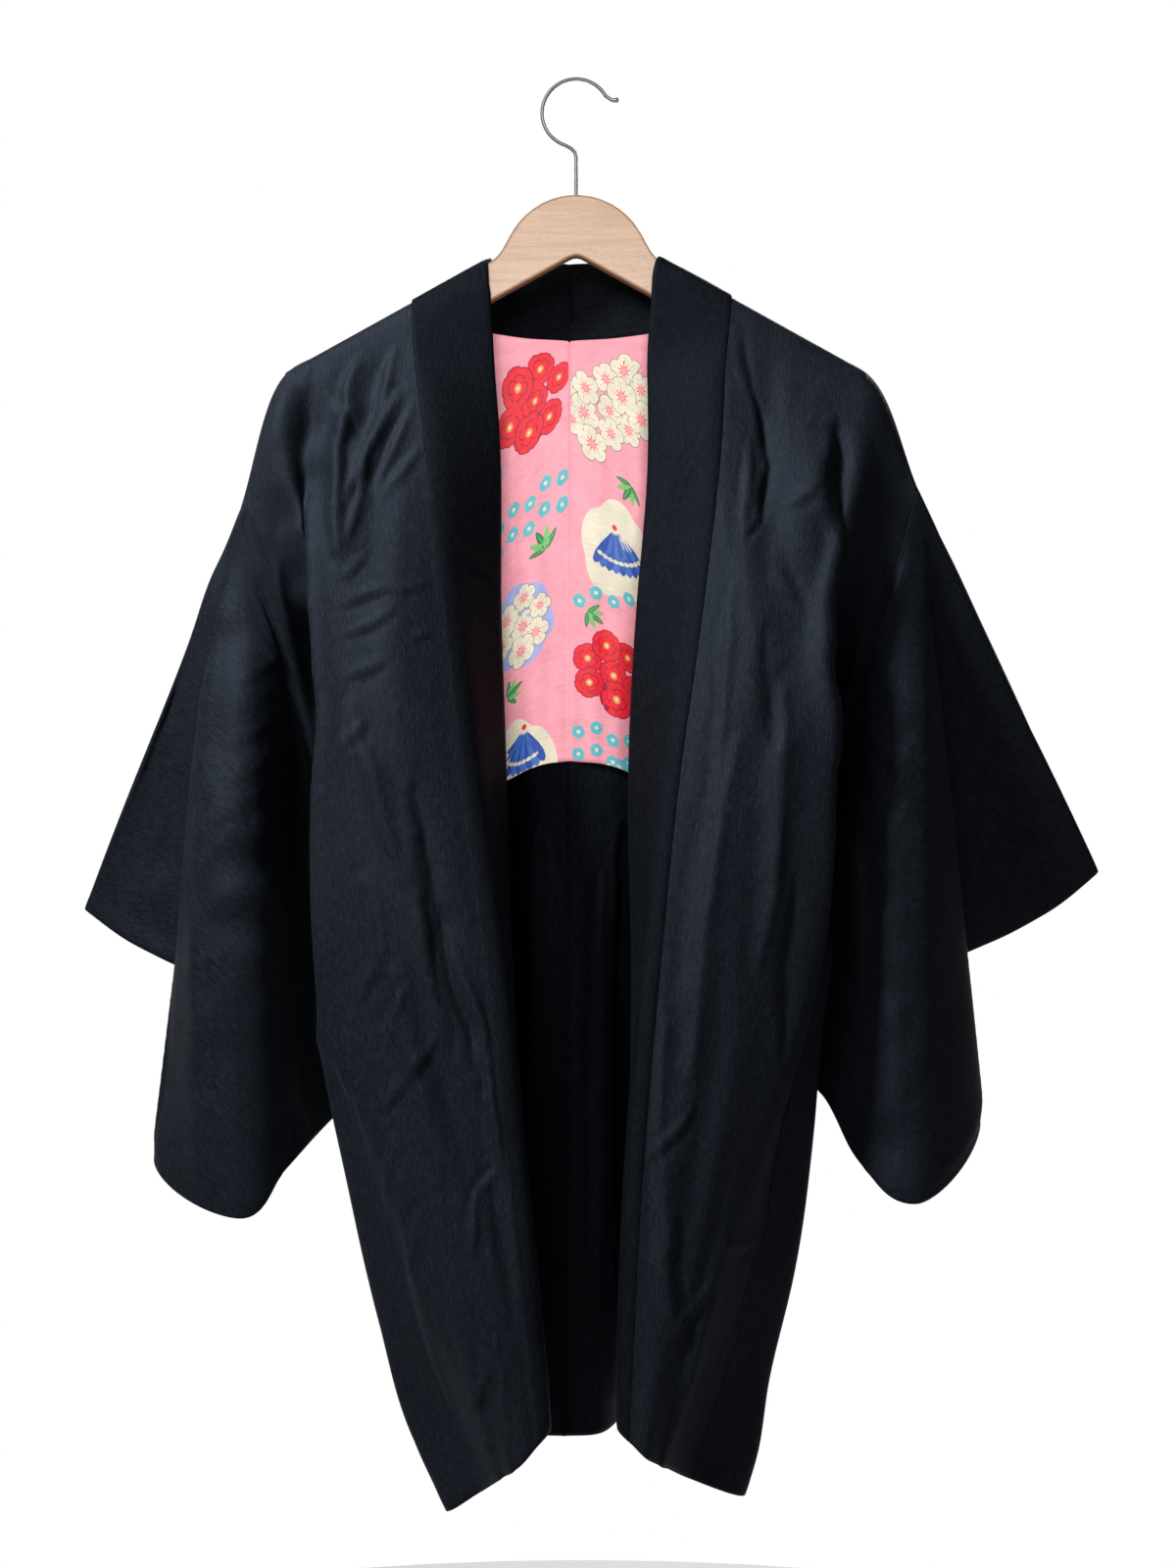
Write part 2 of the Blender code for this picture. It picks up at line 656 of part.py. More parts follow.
def front_row(half, share, count=BODY_COLUMNS + 1):
    """Points across the front from the collar seam to the armhole or the gusset."""
    inner, corner = place(COLLAR_SEAM, half, share), place(CORNER_FOLD, half, share)
    lead, edge = side_edge(half, share, FRONT_SIDE_SEAM, -1)
    panel = inner * (1 - PANEL_SHARE) + corner * PANEL_SHARE
    gap, after = SEAM_GAP, None
    if share > ARMHOLE_SHARE:
        after = gusset_fold(half, share)
        gap = seam_trim(corner, edge, after)
    row = smooth_row([inner, panel, corner, lead, edge], count, end_trim=gap, after=after)
    return pressed(half, np.array([over_arm(p) for p in row]), share, FRONT_FOLDS[half])


def back_row(half, share, count=BODY_COLUMNS + 1):
    """Points across the back from the neckline or the centre seam to the armhole or the gusset."""
    lead, edge = side_edge(half, share, BACK_SIDE_SEAM, 1)
    controls = [
        place(NECK_AND_CENTRE, half, share),
        place(BACK_SHELF, half, share),
        place(BACK_PEAK, half, share),
        place(BACK_FLANK, half, share),
        lead,
        edge,
    ]
    gap, after = SEAM_GAP, None
    if share > ARMHOLE_SHARE:
        after = gusset_fold(half, share)
        gap = seam_trim(controls[3], edge, after)
    start = SEAM_GAP if share >= NECK_SHARE else 0
    row = smooth_row(controls, count, start_trim=start, end_trim=gap, after=after)
    return np.array([over_arm(p) for p in row])


def gusset_row(half, share, count=GUSSET_COLUMNS + 1):
    """Points across the gusset from the front panel's seam to the back panel's."""
    front_lead, front = side_edge(half, share, FRONT_SIDE_SEAM, -1)
    back_lead, back = side_edge(half, share, BACK_SIDE_SEAM, 1)
    if np.linalg.norm(front_lead - front) < CLOSEST:
        front_lead, back_lead = place(CORNER_FOLD, half, share), place(BACK_FLANK, half, share)
    fold = gusset_fold(half, share)
    underarm = UNDERARM_TRIM * ease(1 - (share - ARMHOLE_SHARE) / LEAD_FADE)
    front_trim = seam_trim(place(CORNER_FOLD, half, share), front, fold) + underarm
    back_trim = seam_trim(place(BACK_FLANK, half, share), back, fold) + underarm
    return smooth_row([front, fold, back], count, front_trim, back_trim, front_lead, back_lead)


# Collar


def band_row(half, share, behind):
    """Points across the collar band from its seam to its free edge."""
    band = BAND_BACK if behind else BAND_FRONT[half]
    row = back_row(half, share) if behind else front_row(half, share)
    turn, rise = radians(read(band, "turn", share)), radians(read(band, "rise", share))
    stand = np.array([-SIDES[half] * cos(turn) * cos(rise), sin(turn) * cos(rise), sin(rise)])
    flat = 0.0 if behind else ease((share - BAND_STANDS) / BAND_FLATTENS)
    leave = unit(unit(row[0] - row[1]) * flat + stand * (1 - flat))
    seam = row[0]
    if behind and share >= NECK_SHARE:
        seam = seam * [0, 1, 1] + [place(NECK_AND_CENTRE, half, share)[0], 0, 0]
    ridge = BAND_RIDGE * flat
    start = seam + leave * (SEAM_GAP + COLLAR_WALL * BAND_LAP)
    bend = start + leave * ridge
    turned = bend + unit(leave + stand) * ridge
    end = turned + stand * (COLLAR_WIDTH - 2 * ridge)
    middle = (turned + end) / 2
    row = smooth_row([start, bend, turned, middle, end], COLLAR_COLUMNS + 1)
    return np.array([over_arm(p, BAND_ABOVE_ARM) for p in row])


# Meshes


def material(name, colour, roughness, metallic=0.0):
    made = bpy.data.materials.new(name)
    made.use_nodes = True
    shader = made.node_tree.nodes["Principled BSDF"]
    shader.inputs["Base Color"].default_value = (*colour, 1.0)
    shader.inputs["Roughness"].default_value = roughness
    shader.inputs["Metallic"].default_value = metallic
    return made


def add_mesh(name, points, faces, finish, collection):
    mesh = bpy.data.meshes.new(name)
    mesh.from_pydata([tuple(p) for p in points], [], faces)
    mesh.shade_smooth()
    mesh.materials.append(finish)
    made = bpy.data.objects.new(name, mesh)
    collection.objects.link(made)
    return made


def give_wall(cloth, thickness):
    wall = cloth.modifiers.new("Wall", "SOLIDIFY")
    wall.thickness = thickness
    wall.offset = 0.0


def panel(name, rows, thickness, finish, collection):
    """A cloth panel lofted through rows of points."""
    count, points = len(rows[0]), np.concatenate(rows)
    faces = []
    for i in range(len(rows) - 1):
        for corner in range(i * count, i * count + count - 1):
            faces.append((corner, corner + 1, corner + count + 1, corner + count))
    give_wall(add_mesh(name, points, faces, finish, collection), thickness)


def sleeve(half, finish, collection):
    """A sleeve lofted through rings from the armhole to the cuff, whose lower part is sewn shut.

    The rows fan out from the shoulder point to the cuff, as its folds do, and the last is the bottom.
    """
    steps = np.linspace(0, 1, SLEEVE_ROWS + 1)
    starts = SLEEVE_DROP * (START_SHARE * steps + (1 - START_SHARE) * steps**START_GATHER)
    cuff = steps * (SLEEVE_DROP - SLEEVE_CORNER + SLEEVE_CORNER * pi / 2)
    rings = []
    for along in SLEEVE_ALONG:
        flat = [
            np.array([0, start]) * (1 - along) + cuff_point(length) * along
            for start, length in zip(starts, cuff)
        ]
        top, bottom = sleeve_middle(half, *flat[0]), sleeve_middle(half, *flat[-1])
        front = [sleeve_layer(half, *place_on, -1) for place_on in flat[1:-1]]
        behind = [sleeve_layer(half, *place_on, 1) for place_on in flat[-2:0:-1]]
        rings.append(np.array([top, *front, bottom, *behind]))
    count = len(rings[0])
    faces = []
    for i in range(len(rings) - 1):
        for j in range(count):
            after = (j + 1) % count
            faces.append((i * count + j, i * count + after, (i + 1) * count + after, (i + 1) * count + j))
    last = (len(rings) - 1) * count
    for j in range(int(np.searchsorted(cuff, CUFF_OPENING)), SLEEVE_ROWS - 1):
        faces.append((last + j, last + j + 1, last + count - j - 1, last + count - j))
    faces.append((last + SLEEVE_ROWS - 1, last + SLEEVE_ROWS, last + SLEEVE_ROWS + 1))
    give_wall(add_mesh(f"sleeve_{half}", np.concatenate(rings), faces, finish, collection), WALL)


def body(half, finish, collection):
    rows = [front_row(half, share) for share in BODY_ROWS[::-1]]
    rows.append(back_row(half, 0.0))
    rows += [back_row(half, share) for share in BODY_ROWS]
    panel(f"body_{half}", rows, WALL, finish, collection)


def gusset(half, finish, collection):
    shares = [s for s in BODY_ROWS if s > ARMHOLE_SHARE]
    rows = [gusset_row(half, share) for share in shares]
    panel(f"gusset_{half}", rows, WALL, finish, collection)


def collar(finish, collection):
    """The band from the right front hem round the neck to the left front hem."""
    rows = []
    for half in SIDES:
        side = [band_row(half, share, False) for share in BODY_ROWS[::-1]]
        side += [band_row(half, share, True) for share in (0.0, *BODY_ROWS) if share <= NECK_SHARE]
        rows += side if half == "right" else side[-2::-1]
    panel("collar", rows, COLLAR_WALL, finish, collection)


def lining(half, finish, collection):
    """The printed lining: points of the back panel, moved inwards."""
    grid = np.array([back_row(half, share) for share in BODY_ROWS])
    normal = np.cross(np.gradient(grid, axis=0), np.gradient(grid, axis=1)) * SIDES[half]
    normal /= np.linalg.norm(normal, axis=2)[:, :, None]
    grid += normal * (WALL / 2 + LINING_GAP + LINING_WALL / 2)
    rows = []
    for share, row in zip(BODY_ROWS, grid):
        if LINING_TOP <= share <= LINING_BOTTOM:
            trim = LINING_NECK_TRIM if share <= NECK_SHARE else LINING_CENTRE_TRIM
            row[0] += trim * (row[1] - row[0])
            rows.append(row[: LINING_COLUMNS + 1])
    panel(f"lining_{half}", rows, LINING_WALL, finish, collection)


def hanger_outline():
    """Outline of the right half of the hanger, from the head's top to the notch under it."""
    centre = HEAD_TOP + HEAD_RADIUS
    points = []
    for out in np.linspace(0, HEAD_ARC_OUT, HEAD_POINTS):
        points.append((out, centre - sqrt(HEAD_RADIUS**2 - out**2)))
    for out, down in HEAD_FILLET:
        points.append((HEAD_OUT + out, ARM_TOP + down))
    top_end = ARM_TOP + ARM_SLOPE * (ARM_END - HEAD_OUT)
    under_end = ARM_UNDER + ARM_SLOPE * ARM_END
    radius = (under_end - top_end) / 2 * ARM_ROUND_SHARE
    middle = (top_end + under_end) / 2 - ARM_ROUND_LIFT
    for angle in np.linspace(*ARM_ROUND):
        turn = radians(angle)
        points.append((ARM_END - radius + radius * cos(turn), middle + radius * sin(turn)))
    points.append((0.0, ARM_UNDER))
    return points


def hanger(finish, collection):
    half = hanger_outline()
    outline = half + [(-out, down) for out, down in half[-2:0:-1]]
    curve = bpy.data.curves.new("hanger", "CURVE")
    curve.dimensions = "2D"
    curve.fill_mode = "BOTH"
    curve.extrude = WOOD_THICK / 2 - WOOD_ROUND
    curve.bevel_depth = WOOD_ROUND
    curve.bevel_resolution = 1
    curve.offset = -WOOD_ROUND
    spline = curve.splines.new("POLY")
    spline.points.add(len(outline) - 1)
    for point, (out, down) in zip(spline.points, outline):
        point.co = (out, -down, 0.0, 1.0)
    spline.use_cyclic_u = True
    curve.materials.append(finish)
    made = bpy.data.objects.new("hanger", curve)
    made.rotation_euler = (pi / 2, 0, 0)
    collection.objects.link(made)


def hook(finish, collection):
    """The wire hook: shank, bend, round of the hook, and a tip bent outwards."""
    centre = -HOOK_RADIUS + WIRE / 2
    path = [(0.0, SEAT - HEAD_TOP)]
    path += [(out, -down) for out, down in zip(HOOK_SHANK["out"], HOOK_SHANK["down"])]
    for angle in range(*HOOK_ROUND):
        turn = radians(angle)
        path.append((HOOK_RADIUS * cos(turn), centre + HOOK_RADIUS * sin(turn)))
    path += [(out, -down) for out, down in zip(HOOK_TIP["out"], HOOK_TIP["down"])]
    curve = bpy.data.curves.new("hook", "CURVE")
    curve.dimensions = "3D"
    curve.bevel_depth = WIRE / 2
    curve.bevel_resolution = 2
    curve.use_fill_caps = True
    spline = curve.splines.new("POLY")
    spline.points.add(len(path) - 1)
    for point, (out, up) in zip(spline.points, path):
        point.co = (out, 0.0, up, 1.0)
    for point, swell in zip(list(spline.points)[-len(HOOK_TIP["swell"]) :], HOOK_TIP["swell"]):
        point.radius = swell
    curve.materials.append(finish)
    collection.objects.link(bpy.data.objects.new("hook", curve))


def main():
    for old in list(bpy.data.objects):
        bpy.data.objects.remove(old)
    collection = bpy.data.collections.new("haori_on_hanger")
    bpy.context.scene.collection.children.link(collection)
    crepe = material("black_crepe", (0.012, 0.014, 0.020), 0.75)
    silk = material("printed_silk", (0.86, 0.42, 0.50), 0.45)
    wood = material("beech", (0.72, 0.50, 0.33), 0.55)
    steel = material("steel_wire", (0.60, 0.59, 0.57), 0.25, metallic=1.0)
    for half in SIDES:
        body(half, crepe, collection)
        gusset(half, crepe, collection)
        sleeve(half, crepe, collection)
        lining(half, silk, collection)
    collar(crepe, collection)
    hanger(wood, collection)
    hook(steel, collection)


main()
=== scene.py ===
"""A haori jacket on a wooden hanger: its cloth, print and studio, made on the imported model's frame."""

from functools import lru_cache
from math import cos, pi, radians, sin, sqrt

import bpy
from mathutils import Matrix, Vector
import numpy as np


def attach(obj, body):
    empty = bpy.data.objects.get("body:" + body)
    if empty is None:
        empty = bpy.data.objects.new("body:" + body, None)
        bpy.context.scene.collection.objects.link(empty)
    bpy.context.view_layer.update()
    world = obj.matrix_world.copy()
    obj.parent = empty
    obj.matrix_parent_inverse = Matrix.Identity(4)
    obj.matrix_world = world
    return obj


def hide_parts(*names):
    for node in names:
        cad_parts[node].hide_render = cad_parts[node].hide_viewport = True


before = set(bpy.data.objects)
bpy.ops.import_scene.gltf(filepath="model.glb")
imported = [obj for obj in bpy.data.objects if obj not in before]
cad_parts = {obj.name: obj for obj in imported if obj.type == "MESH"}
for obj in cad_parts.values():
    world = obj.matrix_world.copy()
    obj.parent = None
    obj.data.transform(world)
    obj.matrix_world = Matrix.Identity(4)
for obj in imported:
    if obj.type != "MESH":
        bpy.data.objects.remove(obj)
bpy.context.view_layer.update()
rng = np.random.default_rng(7)

# Cloth
WALL = 0.0015  # crepe with its inner facing
LINING_WALL = 0.0010
SEAM_GAP = 0.0004
UNDERARM_CLEAR = 0.0012  # the gusset's top stands this far inside the sleeve's open edge

# Cut of the jacket
ARMHOLE = 0.250  # sewn length of the sleeve's inner edge
ARMHOLE_SHARE = 0.35  # the same length as a share of the body's side edge
SEAMS_FROM = 0.40  # share where the gusset's seams hang clear of the armhole
SLEEVE_WIDTH = 0.332
SLEEVE_DROP = 0.420
SLEEVE_CORNER = 0.110  # radius of the outer bottom corner
CUFF_OPENING = 0.230
COLLAR_WIDTH = 0.055
BAND_RIDGE = 0.006  # cloth in half of the band's turn beside its seam
NECK_SHARE = 0.07  # where the neckline reaches the centre-back seam
LINING_TOP = 0.03
LINING_BOTTOM = 0.43
LINING_GAP = 0.0005

# Sleeve bag
LAYERS = 0.0024  # half the distance between the two layers where they lie together
MOUTH = 0.0080  # and where the armhole and the cuff stand open
MOUTH_REACH = 0.10
MOUTH_FADE = 0.05  # at their tops, and at the cuff's bottom
ARMHOLE_FADE, POINT_FADE = 0.03, 0.003  # below the armhole, and about the shoulder point
CUFF_OPEN = 0.55  # share of the cuff's opening that stands open
SLOPE_STEP = 0.002  # over which a sleeve's slope is measured
FOLDS_START, FOLDS_FULL = 0.03, 0.14  # distances from the shoulder point over which its folds form

# Hanger
WOOD_THICK = 0.012
WOOD_ROUND = 0.002
ARM_SLOPE = 0.555
ARM_TOP = 0.1255  # depth of an arm's top edge where it leaves the head
HEAD_OUT = 0.055
HEAD_TOP = 0.0814
HEAD_RADIUS = 0.052
HEAD_ARC_OUT = 0.046
ARM_END = 0.2035
ARM_UNDER = 0.1228  # depth of the notch under the head
ARM_HIGH = 0.030
ARM_CLEAR = 0.0105  # cloth this far from the middle plane passes beside an arm
CLOTH_ABOVE_ARM = 0.0016
BAND_ABOVE_ARM = 0.0028
WIRE = 0.0026
HOOK_RADIUS = 0.0240


def table(columns, *rows):
    """Named columns of a table of rows."""
    return dict(zip(columns.split(), np.array(rows, float).T))


def halves(columns, right, left):
    """A table of the same columns for each half."""
    return {"right": table(columns, *right), "left": table(columns, *left)}


# Where the front meets the collar, over the shoulder and down to the hem
COLLAR_SEAM = halves(
    "share out back down",
    right=(
        (0, 0.114, 0, 0.157),
        (0.012, 0.1138, -0.009, 0.163),
        (0.04, 0.1125, -0.014, 0.187),
        (0.12, 0.104, -0.028, 0.257),
        (0.24, 0.094, -0.042, 0.349),
        (0.42, 0.077, -0.058, 0.488),
        (0.62, 0.0555, -0.072, 0.638),
        (0.81, 0.04, -0.085, 0.784),
        (1, 0.023, -0.1, 0.929),
    ),
    left=(
        (0, 0.108, 0, 0.1545),
        (0.012, 0.1075, -0.009, 0.1605),
        (0.04, 0.1045, -0.014, 0.188),
        (0.14, 0.099, -0.03, 0.268),
        (0.27, 0.087, -0.045, 0.371),
        (0.44, 0.069, -0.06, 0.497),
        (0.59, 0.0567, -0.072, 0.612),
        (0.77, 0.044, -0.086, 0.752),
        (1, 0.0345, -0.1, 0.9275),
    ),
)

# The fold that hangs from the hanger's end, where the front turns back to the armhole
CORNER_FOLD = halves(
    "share out back down",
    right=(
        (0, 0.206, 0, 0.209),
        (0.012, 0.207, -0.0085, 0.216),
        (0.05, 0.205, -0.017, 0.245),
        (0.13, 0.196, -0.029, 0.3),
        (0.25, 0.184, -0.042, 0.392),
        (0.37, 0.18, -0.047, 0.48),
        (0.5, 0.178, -0.047, 0.572),
        (0.62, 0.17, -0.043, 0.655),
        (0.75, 0.132, -0.05, 0.75),
        (0.88, 0.09, -0.062, 0.86),
        (1, 0.05, -0.074, 0.958),
    ),
    left=(
        (0, 0.2085, 0, 0.2104),
        (0.012, 0.208, -0.0085, 0.217),
        (0.05, 0.201, -0.018, 0.25),
        (0.13, 0.189, -0.03, 0.308),
        (0.25, 0.18, -0.042, 0.392),
        (0.37, 0.1765, -0.047, 0.478),
        (0.5, 0.172, -0.046, 0.566),
        (0.62, 0.156, -0.045, 0.65),
        (0.75, 0.125, -0.052, 0.745),
        (0.88, 0.093, -0.062, 0.85),
        (1, 0.06, -0.074, 0.95),
    ),
)

# Seams of the side gusset below the armhole, and the fold down its middle
FRONT_SIDE_SEAM = halves(
    "share out back down",
    right=(
        (SEAMS_FROM, 0.167, 0.006, 0.575),
        (0.5, 0.177, -0.02, 0.62),
        (0.62, 0.178, -0.031, 0.668),
        (0.68, 0.1619, -0.03, 0.7009),
        (0.77, 0.1417, -0.035, 0.7675),
        (0.88, 0.1103, -0.04, 0.8637),
        (0.965, 0.0765, -0.045, 0.9471),
        (1, 0.0662, -0.05, 0.9767),
    ),
    left=(
        (SEAMS_FROM, 0.168, -0.006, 0.558),
        (0.5, 0.169, -0.028, 0.613),
        (0.62, 0.156, -0.03, 0.678),
        (0.69, 0.1411, -0.032, 0.731),
        (0.82, 0.1212, -0.037, 0.8342),
        (0.9, 0.1, -0.042, 0.9013),
        (0.96, 0.0837, -0.046, 0.9468),
        (1, 0.0775, -0.05, 0.9667),
    ),
)
GUSSET_FOLD = halves(
    "share out back down",
    right=(
        (SEAMS_FROM, 0.166, 0.016, 0.577),
        (0.5, 0.177, 0, 0.618),
        (0.62, 0.179, -0.012, 0.67),
        (0.68, 0.1746, -0.01, 0.7039),
        (0.77, 0.1596, -0.015, 0.7715),
        (0.88, 0.1366, -0.02, 0.8691),
        (0.95, 0.1164, -0.025, 0.9382),
        (1, 0.0886, -0.035, 0.9942),
    ),
    left=(
        (SEAMS_FROM, 0.169, 0.006, 0.557),
        (0.5, 0.1785, -0.008, 0.611),
        (0.62, 0.17, -0.011, 0.68),
        (0.69, 0.165, -0.013, 0.735),
        (0.82, 0.15, -0.019, 0.838),
        (0.9, 0.1323, -0.025, 0.908),
        (0.96, 0.124, -0.031, 0.956),
        (1, 0.1153, -0.035, 0.9834),
    ),
)
BACK_SIDE_SEAM = halves(
    "share out back down",
    right=(
        (SEAMS_FROM, 0.156, 0.026, 0.578),
        (0.5, 0.17, 0.018, 0.618),
        (0.62, 0.173, 0.006, 0.67),
        (0.77, 0.152, 0.002, 0.77),
        (0.88, 0.129, -0.001, 0.866),
        (1, 0.085, -0.003, 0.986),
    ),
    left=(
        (SEAMS_FROM, 0.158, 0.02, 0.56),
        (0.5, 0.173, 0.012, 0.611),
        (0.62, 0.168, 0.006, 0.68),
        (0.77, 0.152, 0.003, 0.797),
        (0.88, 0.133, 0.001, 0.884),
        (1, 0.11, -0.001, 0.976),
    ),
)

# The back: the neckline and centre seam, then the shelf, peak and flank of the deep fold of each half
NECK_AND_CENTRE = halves(
    "share out back down",
    right=(
        (0, 0.114, 0, 0.157),
        (0.012, 0.102, 0.012, 0.162),
        (0.03, 0.074, 0.023, 0.17),
        (0.05, 0.038, 0.029, 0.1755),
        (0.07, 0.005, 0.031, 0.1775),
        (0.3, 0.0048, 0.038, 0.37),
        (0.55, 0.006, 0.04, 0.58),
        (0.8, 0.0076, 0.03, 0.79),
        (1, 0.0085, 0.012, 0.958),
    ),
    left=(
        (0, 0.108, 0, 0.1545),
        (0.012, 0.101, 0.012, 0.1605),
        (0.03, 0.069, 0.023, 0.17),
        (0.05, 0.028, 0.029, 0.1755),
        (0.07, -0.005, 0.031, 0.1775),
        (0.3, -0.0048, 0.038, 0.37),
        (0.55, -0.006, 0.04, 0.58),
        (0.8, -0.0076, 0.03, 0.79),
        (1, -0.0085, 0.012, 0.958),
    ),
)
BACK_SHELF = halves(
    "share out back down",
    right=(
        (0, 0.14, 0, 0.1715),
        (0.012, 0.133, 0.009, 0.176),
        (0.07, 0.052, 0.028, 0.196),
        (0.3, 0.03, 0.044, 0.376),
        (0.55, 0.027, 0.047, 0.583),
        (0.8, 0.029, 0.04, 0.791),
        (1, 0.031, 0.02, 0.959),
    ),
    left=(
        (0, 0.14, 0, 0.1722),
        (0.012, 0.133, 0.009, 0.1762),
        (0.07, 0.048, 0.028, 0.196),
        (0.3, 0.03, 0.044, 0.376),
        (0.55, 0.023, 0.048, 0.583),
        (0.8, 0.018, 0.038, 0.79),
        (1, 0.017, 0.018, 0.958),
    ),
)
BACK_PEAK = halves(
    "share out back down",
    right=(
        (0, 0.174, 0, 0.1904),
        (0.012, 0.17, 0.009, 0.196),
        (0.07, 0.11, 0.026, 0.226),
        (0.3, 0.08, 0.054, 0.41),
        (0.5, 0.07, 0.075, 0.56),
        (0.7, 0.06, 0.093, 0.724),
        (0.85, 0.055, 0.104, 0.85),
        (1, 0.054, 0.112, 0.965),
    ),
    left=(
        (0, 0.174, 0, 0.1911),
        (0.012, 0.17, 0.009, 0.1965),
        (0.07, 0.108, 0.026, 0.226),
        (0.3, 0.08, 0.056, 0.41),
        (0.5, 0.072, 0.078, 0.56),
        (0.7, 0.064, 0.098, 0.72),
        (0.85, 0.06, 0.112, 0.845),
        (1, 0.058, 0.122, 0.955),
    ),
)
BACK_FLANK = halves(
    "share out back down",
    right=(
        (0, 0.206, 0, 0.209),
        (0.012, 0.206, 0.0085, 0.216),
        (0.07, 0.18, 0.02, 0.257),
        (0.3, 0.14, 0.046, 0.45),
        (0.5, 0.124, 0.044, 0.59),
        (0.7, 0.108, 0.04, 0.735),
        (0.85, 0.094, 0.044, 0.86),
        (1, 0.083, 0.048, 0.977),
    ),
    left=(
        (0, 0.2085, 0, 0.2104),
        (0.012, 0.2075, 0.0085, 0.217),
        (0.07, 0.18, 0.02, 0.257),
        (0.3, 0.14, 0.046, 0.446),
        (0.5, 0.126, 0.044, 0.586),
        (0.7, 0.114, 0.04, 0.736),
        (0.85, 0.104, 0.044, 0.856),
        (1, 0.096, 0.048, 0.968),
    ),
)

# How the collar band stands from its seam, in degrees: turn swings its free edge backwards, rise lifts it
BAND_FRONT = halves(
    "share turn rise",
    right=(
        (0, -8, 22),
        (0.012, -2, 13),
        (0.04, 6, 4),
        (0.12, 24, 0),
        (0.24, 45, -2),
        (0.42, 66, -4),
        (0.52, 79, -5),
        (0.62, 88, -6),
        (0.81, 95, -8),
        (1, 95, -10),
    ),
    left=(
        (0, -8, 22),
        (0.012, -2, 13),
        (0.04, 8, 4),
        (0.14, 28, 0),
        (0.27, 38, -2),
        (0.44, 60, -4),
        (0.59, 80, -6),
        (0.77, 93, -8),
        (1, 96, -10),
    ),
)
BAND_BACK = table(
    "share turn rise",
    (0, -8, 22),
    (0.012, -10, 38),
    (0.03, -14, 60),
    (0.05, -30, 78),
    (0.07, -60, 86),
)

# Rays of a sleeve from the shoulder point. Here share is the turn on the flat sleeve from its top fold,
# in degrees; lean swings the ray outwards from straight down, swing backwards, and reach is its length
SLEEVE_RAYS = halves(
    "share lean swing reach",
    right=(
        (0, 25.2, 19.2, 0.332),
        (15, 9.6, 14.2, 0.343),
        (30, -6.5, 12.6, 0.405),
        (44, 8.7, 6.2, 0.472),
        (54, -0.4, -2.3, 0.495),
        (64, -4, 0, 0.463),
        (74, -7.8, 5, 0.44),
        (82, -11.5, 9.6, 0.428),
        (90, -16, 11, 0.42),
    ),
    left=(
        (0, 29.2, 20, 0.33),
        (20, 7.6, 14, 0.35),
        (34, -6.5, 12.6, 0.402),
        (46, 6.8, 6.4, 0.458),
        (54, -0.3, -1, 0.503),
        (64, -4.6, 0.8, 0.478),
        (74, -8, 5, 0.44),
        (82, -12, 9.6, 0.428),
        (90, -16, 11, 0.42),
    ),
)
SHOULDER_POINT = {"right": (0.236, 0, 0.302), "left": (0.2394, 0, 0.286)}

# Soft folds pressed into the fronts: from and to are (across, down) shares, depth is towards the back
FRONT_FOLDS = halves(
    "from_across from_down to_across to_down width depth",
    right=(
        (0.1, 0.02, 0.3, 0.3, 0.1, 0.004),
        (0.46, 0.2, 0.18, 0.36, 0.1, 0.004),
        (0.4, 0.62, 0.16, 0.8, 0.1, 0.005),
        (0.22, 0.66, 0.05, 0.88, 0.08, 0.004),
        (0.6, 0.88, 0.3, 0.98, 0.12, -0.005),
        (0.3, 0.86, 0.55, 1.02, 0.1, 0.005),
    ),
    left=(
        (0.14, 0.01, 0.28, 0.3, 0.1, 0.005),
        (0.34, 0.04, 0.4, 0.24, 0.1, -0.004),
        (0.44, 0.16, 0.2, 0.4, 0.1, 0.004),
        (0.36, 0.6, 0.22, 0.9, 0.12, 0.004),
        (0.62, 0.8, 0.42, 1.02, 0.12, -0.005),
    ),
)


# What only this script needs

# The camera that the photograph stands for
FOCAL_PIXELS = 2029
PHOTO_HEIGHT = 1600
CAMERA_AT = (0.0083, -1.4, -0.495)

SIDES = {"right": -1, "left": 1}
BODY_COLUMNS = 88
GUSSET_COLUMNS = 22
COLLAR_COLUMNS = 24
SLEEVE_ROWS = 122
SLEEVE_COLUMNS = 122
SLEEVE_TURN = (0.0015, 0.004, 0.009, 0.017)  # shares of the cuff's length at which rows turn round a fold
SLEEVE_TURN_REACH = 0.004
TURN_APART, LOW_TURN = 1.5, 0.35  # where even rows go on, and the same turn at the bottom as a share of it
ROWS_EVEN, ROWS_LATE = 0.3, 0.7  # how the rows' starts spread down the inner edge
SEWN_FROM, SEWN_REACH = 0.955, 0.04  # shares of a row over which the layers close along the sewn cuff
SEWN_ABOVE, SEWN_OVER = 0.004, 0.008  # and how they close down it below the opening
SEWN_APART = 1.02  # walls' thickness that stays between them there
LINING_COLUMNS_SHARE = 0.733
CREPE_HALF = 0.00062  # half of each wall
COLLAR_HALF = 0.00135
COLLAR_LAP = 0.0002  # how far the band reaches over its seam
LINING_HALF = 0.00040
PRINT_MARGIN = 0.0012  # of plain silk along the lining's top and bottom edges
PRINT_FROM, PRINT_TO = 0.0006, 0.205  # how far out from the centre seam inks may lie
DROP_COLUMN = 8  # of the lining, along which its drop is measured
CENTRE_GAP = 0.0003  # from the centre-back seam to each half of the lining
CENTRE_OUT = 0.005  # the centre-back seam hangs this far to the right
INK_FIRST, INK_STEP = 0.00022, 0.00004
LINING_DROP = 0.300

